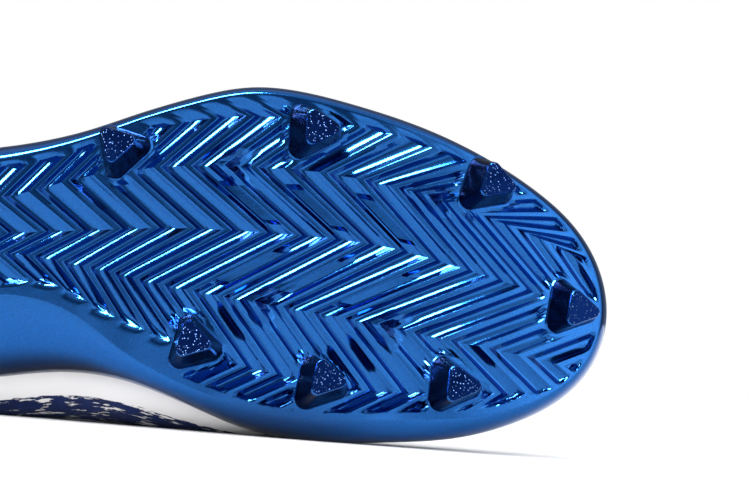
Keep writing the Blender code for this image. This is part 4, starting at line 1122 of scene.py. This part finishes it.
def tip_material():
    """The studs' tips: the same chrome, cast with a coarse sparkling grain."""
    shader = Shader("speckled_tip", SHADED_STUD_CHROME, 0.3, Metallic=1)
    cells = shader.node("ShaderNodeTexVoronoi", shader.place(), Scale=TIP_SCALE)
    dots = shader.ramp(cells.outputs["Distance"], 0.05, 0.3, (1, 1, 1, 1), (0, 0, 0, 1))
    shader.bump(dots, 0.6, 0.2 * MM)
    return shader.painted(shader.mix(dots, TIP_COLOUR, TIP_DOTS))


def wall_material():
    """The studs' walls: a darker, softer chrome, its darkness painted shade."""
    shader = Shader("stud_wall_painted_shade", SHADED_STUD_CHROME, 0.25, Metallic=1)
    grain = shader.noise(shader.place(), WALL_SCALE, 2, 0.6)
    shader.bump(grain, 0.3, 0.1 * MM)
    # Painted shade: the walls' grain ranges over darkened chrome
    dark, light = scaled(SHADED_STUD_CHROME, 0.7), scaled(SHADED_STUD_CHROME, 1.3)
    return shader.painted(shader.ramp(grain, 0.3, 0.7, dark, light))


def upper_material():
    """White grained synthetic, with a generic print of navy brush strokes round the quarter."""
    shader = Shader("upper_white", UPPER_WHITE, 0.55, Specular_IOR_Level=0.25)
    node, times = shader.math, shader.times
    names = ("rise", "along", "side", "edge", "run")
    rise, along, side, opening, run = (shader.attribute(name) for name in names)
    stroke_place = shader.vector(times(along, 0.10), times(rise, 0.8), node("SIGN", side))
    strokes = shader.noise(stroke_place, 1.0, 5, 0.62)
    edge = shader.noise(shader.vector(times(along, 0.16), times(rise, 0.25)), 1.0, 4, 0.6)
    border = node("MULTIPLY_ADD", edge, PRINT_EDGE, PRINT_EDGE)
    above = times(node("SUBTRACT", rise, border), 0.9, clamp=True)
    fore = times(node("SUBTRACT", PRINT_FRONT, along), 0.05, clamp=True)
    top = times(node("SUBTRACT", PRINT_TOP, rise), 0.12, clamp=True)
    zone = times(times(above, fore), top)
    level = node("MULTIPLY_ADD", zone, PRINT_FILL, -0.02)
    marks = node("ADD", times(node("ADD", strokes, edge), 0.55), level)
    ink = times(node("SUBTRACT", marks, PRINT_CUT), 30.0, clamp=True)
    ink = times(ink, node("GREATER_THAN", zone, 0.02))
    colour = shader.mix(ink, (*UPPER_WHITE, 1), shader.ramp(edge, 0.35, 0.65, *INK))
    away = [node("ABSOLUTE", node("SUBTRACT", opening, place)) for place in STITCH_ROWS]
    rows = node("MAXIMUM", *(node("LESS_THAN", distance, STITCH_HALF) for distance in away))
    dash = node("FRACT", times(run, 1 / STITCH_PITCH))
    thread = times(rows, node("LESS_THAN", dash, STITCH_SHARE))
    grain = shader.noise(shader.place(), SKIN_SCALE, 3, 0.6)
    soft = shader.noise(shader.place(), SKIN_WAVE_SCALE, 2, 0.5)
    first = shader.bump(grain, 0.18, 0.2 * MM)
    second = shader.bump(soft, 0.12, 2 * MM, first)
    shader.bump(thread, 0.8, 0.4 * MM, second)
    return shader.painted(shader.mix(thread, colour, THREAD))


def cloth_material(name, colour, scale):
    """Woven cloth, with threads along the three axes."""
    shader = Shader(name, colour, 0.85, Sheen_Weight=0.3)
    threads = []
    place = shader.place()
    for axis in "XYZ":
        settings = {"bands_direction": axis, "Scale": scale, "Distortion": 0.6}
        threads.append(shader.node("ShaderNodeTexWave", place, **settings).outputs["Fac"])
    weave = shader.times(shader.math("MAXIMUM", *threads[:2]), 0.6)
    weave = shader.math("ADD", weave, shader.times(threads[2], 0.4))
    shader.bump(weave, 0.5, 0.3 * MM)
    return shader.painted(shader.mix(weave, scaled(colour, 0.72), scaled(colour, 1)))


def build_stage():
    """A plain white floor; past its edge the camera sees the white background."""
    mesh = bpy.data.meshes.new("floor")
    corners = ((-1, -1), (1, -1), (1, 1), (-1, 1))
    mesh.from_pydata([(x * FLOOR_REACH, y * FLOOR_REACH, 0) for x, y in corners], [], [(0, 1, 2, 3)])
    mesh.materials.append(Shader("floor_white", FLOOR_WHITE, 0.7).material)
    floor = linked("floor", mesh)


def build_world():
    """A white background for the camera, and a dim room with soft boxes for all that reflects."""
    world = bpy.data.worlds.new("studio")
    bpy.context.scene.world = world
    tree = Tree(world)
    way = tree.node("ShaderNodeTexCoord").outputs["Generated"]
    light = 0.0
    for direction, inner, outer, strength in SOFT_BOXES:
        towards = Vector(direction).normalized()
        dot = tree.node("ShaderNodeVectorMath", way, towards, operation="DOT_PRODUCT")
        ramp = tree.node("ShaderNodeMapRange", dot.outputs["Value"], interpolation_type="SMOOTHSTEP")
        low, high = math.cos(math.radians(outer)), math.cos(math.radians(inner))
        for key, value in (("From Min", low), ("From Max", high), ("To Max", strength)):
            ramp.inputs[key].default_value = value
        light = tree.math("ADD", light, ramp.outputs["Result"])
    boxes = tree.node("ShaderNodeBackground", (1, 1, 1, 1), light)
    room = tree.node("ShaderNodeBackground", ROOM_COLOUR)
    studio = tree.node("ShaderNodeAddShader", room.outputs[0], boxes.outputs[0])
    white = tree.node("ShaderNodeBackground", (1, 1, 1, 1))
    seen = tree.node("ShaderNodeLightPath").outputs["Is Camera Ray"]
    mix = tree.node("ShaderNodeMixShader", seen, studio.outputs[0], white.outputs[0])
    tree.feed(mix.outputs[0], tree.nodes["World Output"].inputs["Surface"])


def facing(back, right, place):
    """The placing of a camera or lamp that looks along minus back."""
    turn = Matrix((right, back.cross(right).normalized(), back)).transposed().to_4x4()
    return Matrix.Translation(place) @ turn


def build_lights():
    """A lamp that only the gloss shows, for the ridges' white bands, and a soft light from above."""
    light = bpy.data.lights.new("band_lamp", "AREA")
    light.energy = LAMP_POWER
    light.color = LAMP_COLOUR
    light.shape = "RECTANGLE"
    light.size, light.size_y = LAMP_SIZE
    lamp = linked("band_lamp", light)
    back = Vector(LAMP_DIRECTION).normalized()
    across = Vector(LAMP_ACROSS)
    right = (across - back * across.dot(back)).normalized()
    lamp.matrix_world = facing(back, right, Vector(LAMP_TARGET) + back * LAMP_DISTANCE)
    lamp.visible_diffuse = False
    soft = bpy.data.lights.new("soft_light", "SUN")
    soft.energy = SOFT_LIGHT
    soft.angle = SOFT_ANGLE
    sun = linked("soft_light", soft)
    sun.visible_glossy = False
    sun.rotation_euler = (SOFT_TILT, 0, 0)


def build_camera():
    """The photo's view: along the sole's normal, tipped by a few degrees, level with the floor."""
    data = bpy.data.cameras.new("photo_camera")
    camera = linked("photo_camera", data)
    right = (LAY.to_3x3() @ Vector((1, 0, 0))).normalized()
    back = Vector((0, -1, 0))
    camera.matrix_world = facing(back, right, LAY @ VIEW_CENTRE + back * VIEW_DISTANCE)
    data.lens = data.sensor_width * VIEW_DISTANCE / VIEW_WIDTH
    data.clip_start, data.clip_end = CLIP
    bpy.context.scene.camera = camera


def main():
    scene = bpy.context.scene
    scene.view_settings.view_transform = "Standard"
    build_camera()
    build_stage()
    build_world()
    build_lights()

    chrome = chrome_material()
    lining = cloth_material("lining_blue", LINING_BLUE, LINING_SCALE)
    build_sole(chrome)
    build_studs(chrome, wall_material(), tip_material())
    build_upper(upper_material(), lining)
    tongue_cloth = cloth_material("tongue_white", TONGUE_WHITE, TONGUE_SCALE)
    smoothed_copy("tongue", "tongue_pad", tongue_cloth)
    smoothed_copy("insole", "insole_pad", lining)
    build_lace(cloth_material("lace_white", LACE_WHITE, LACE_SCALE))


main()
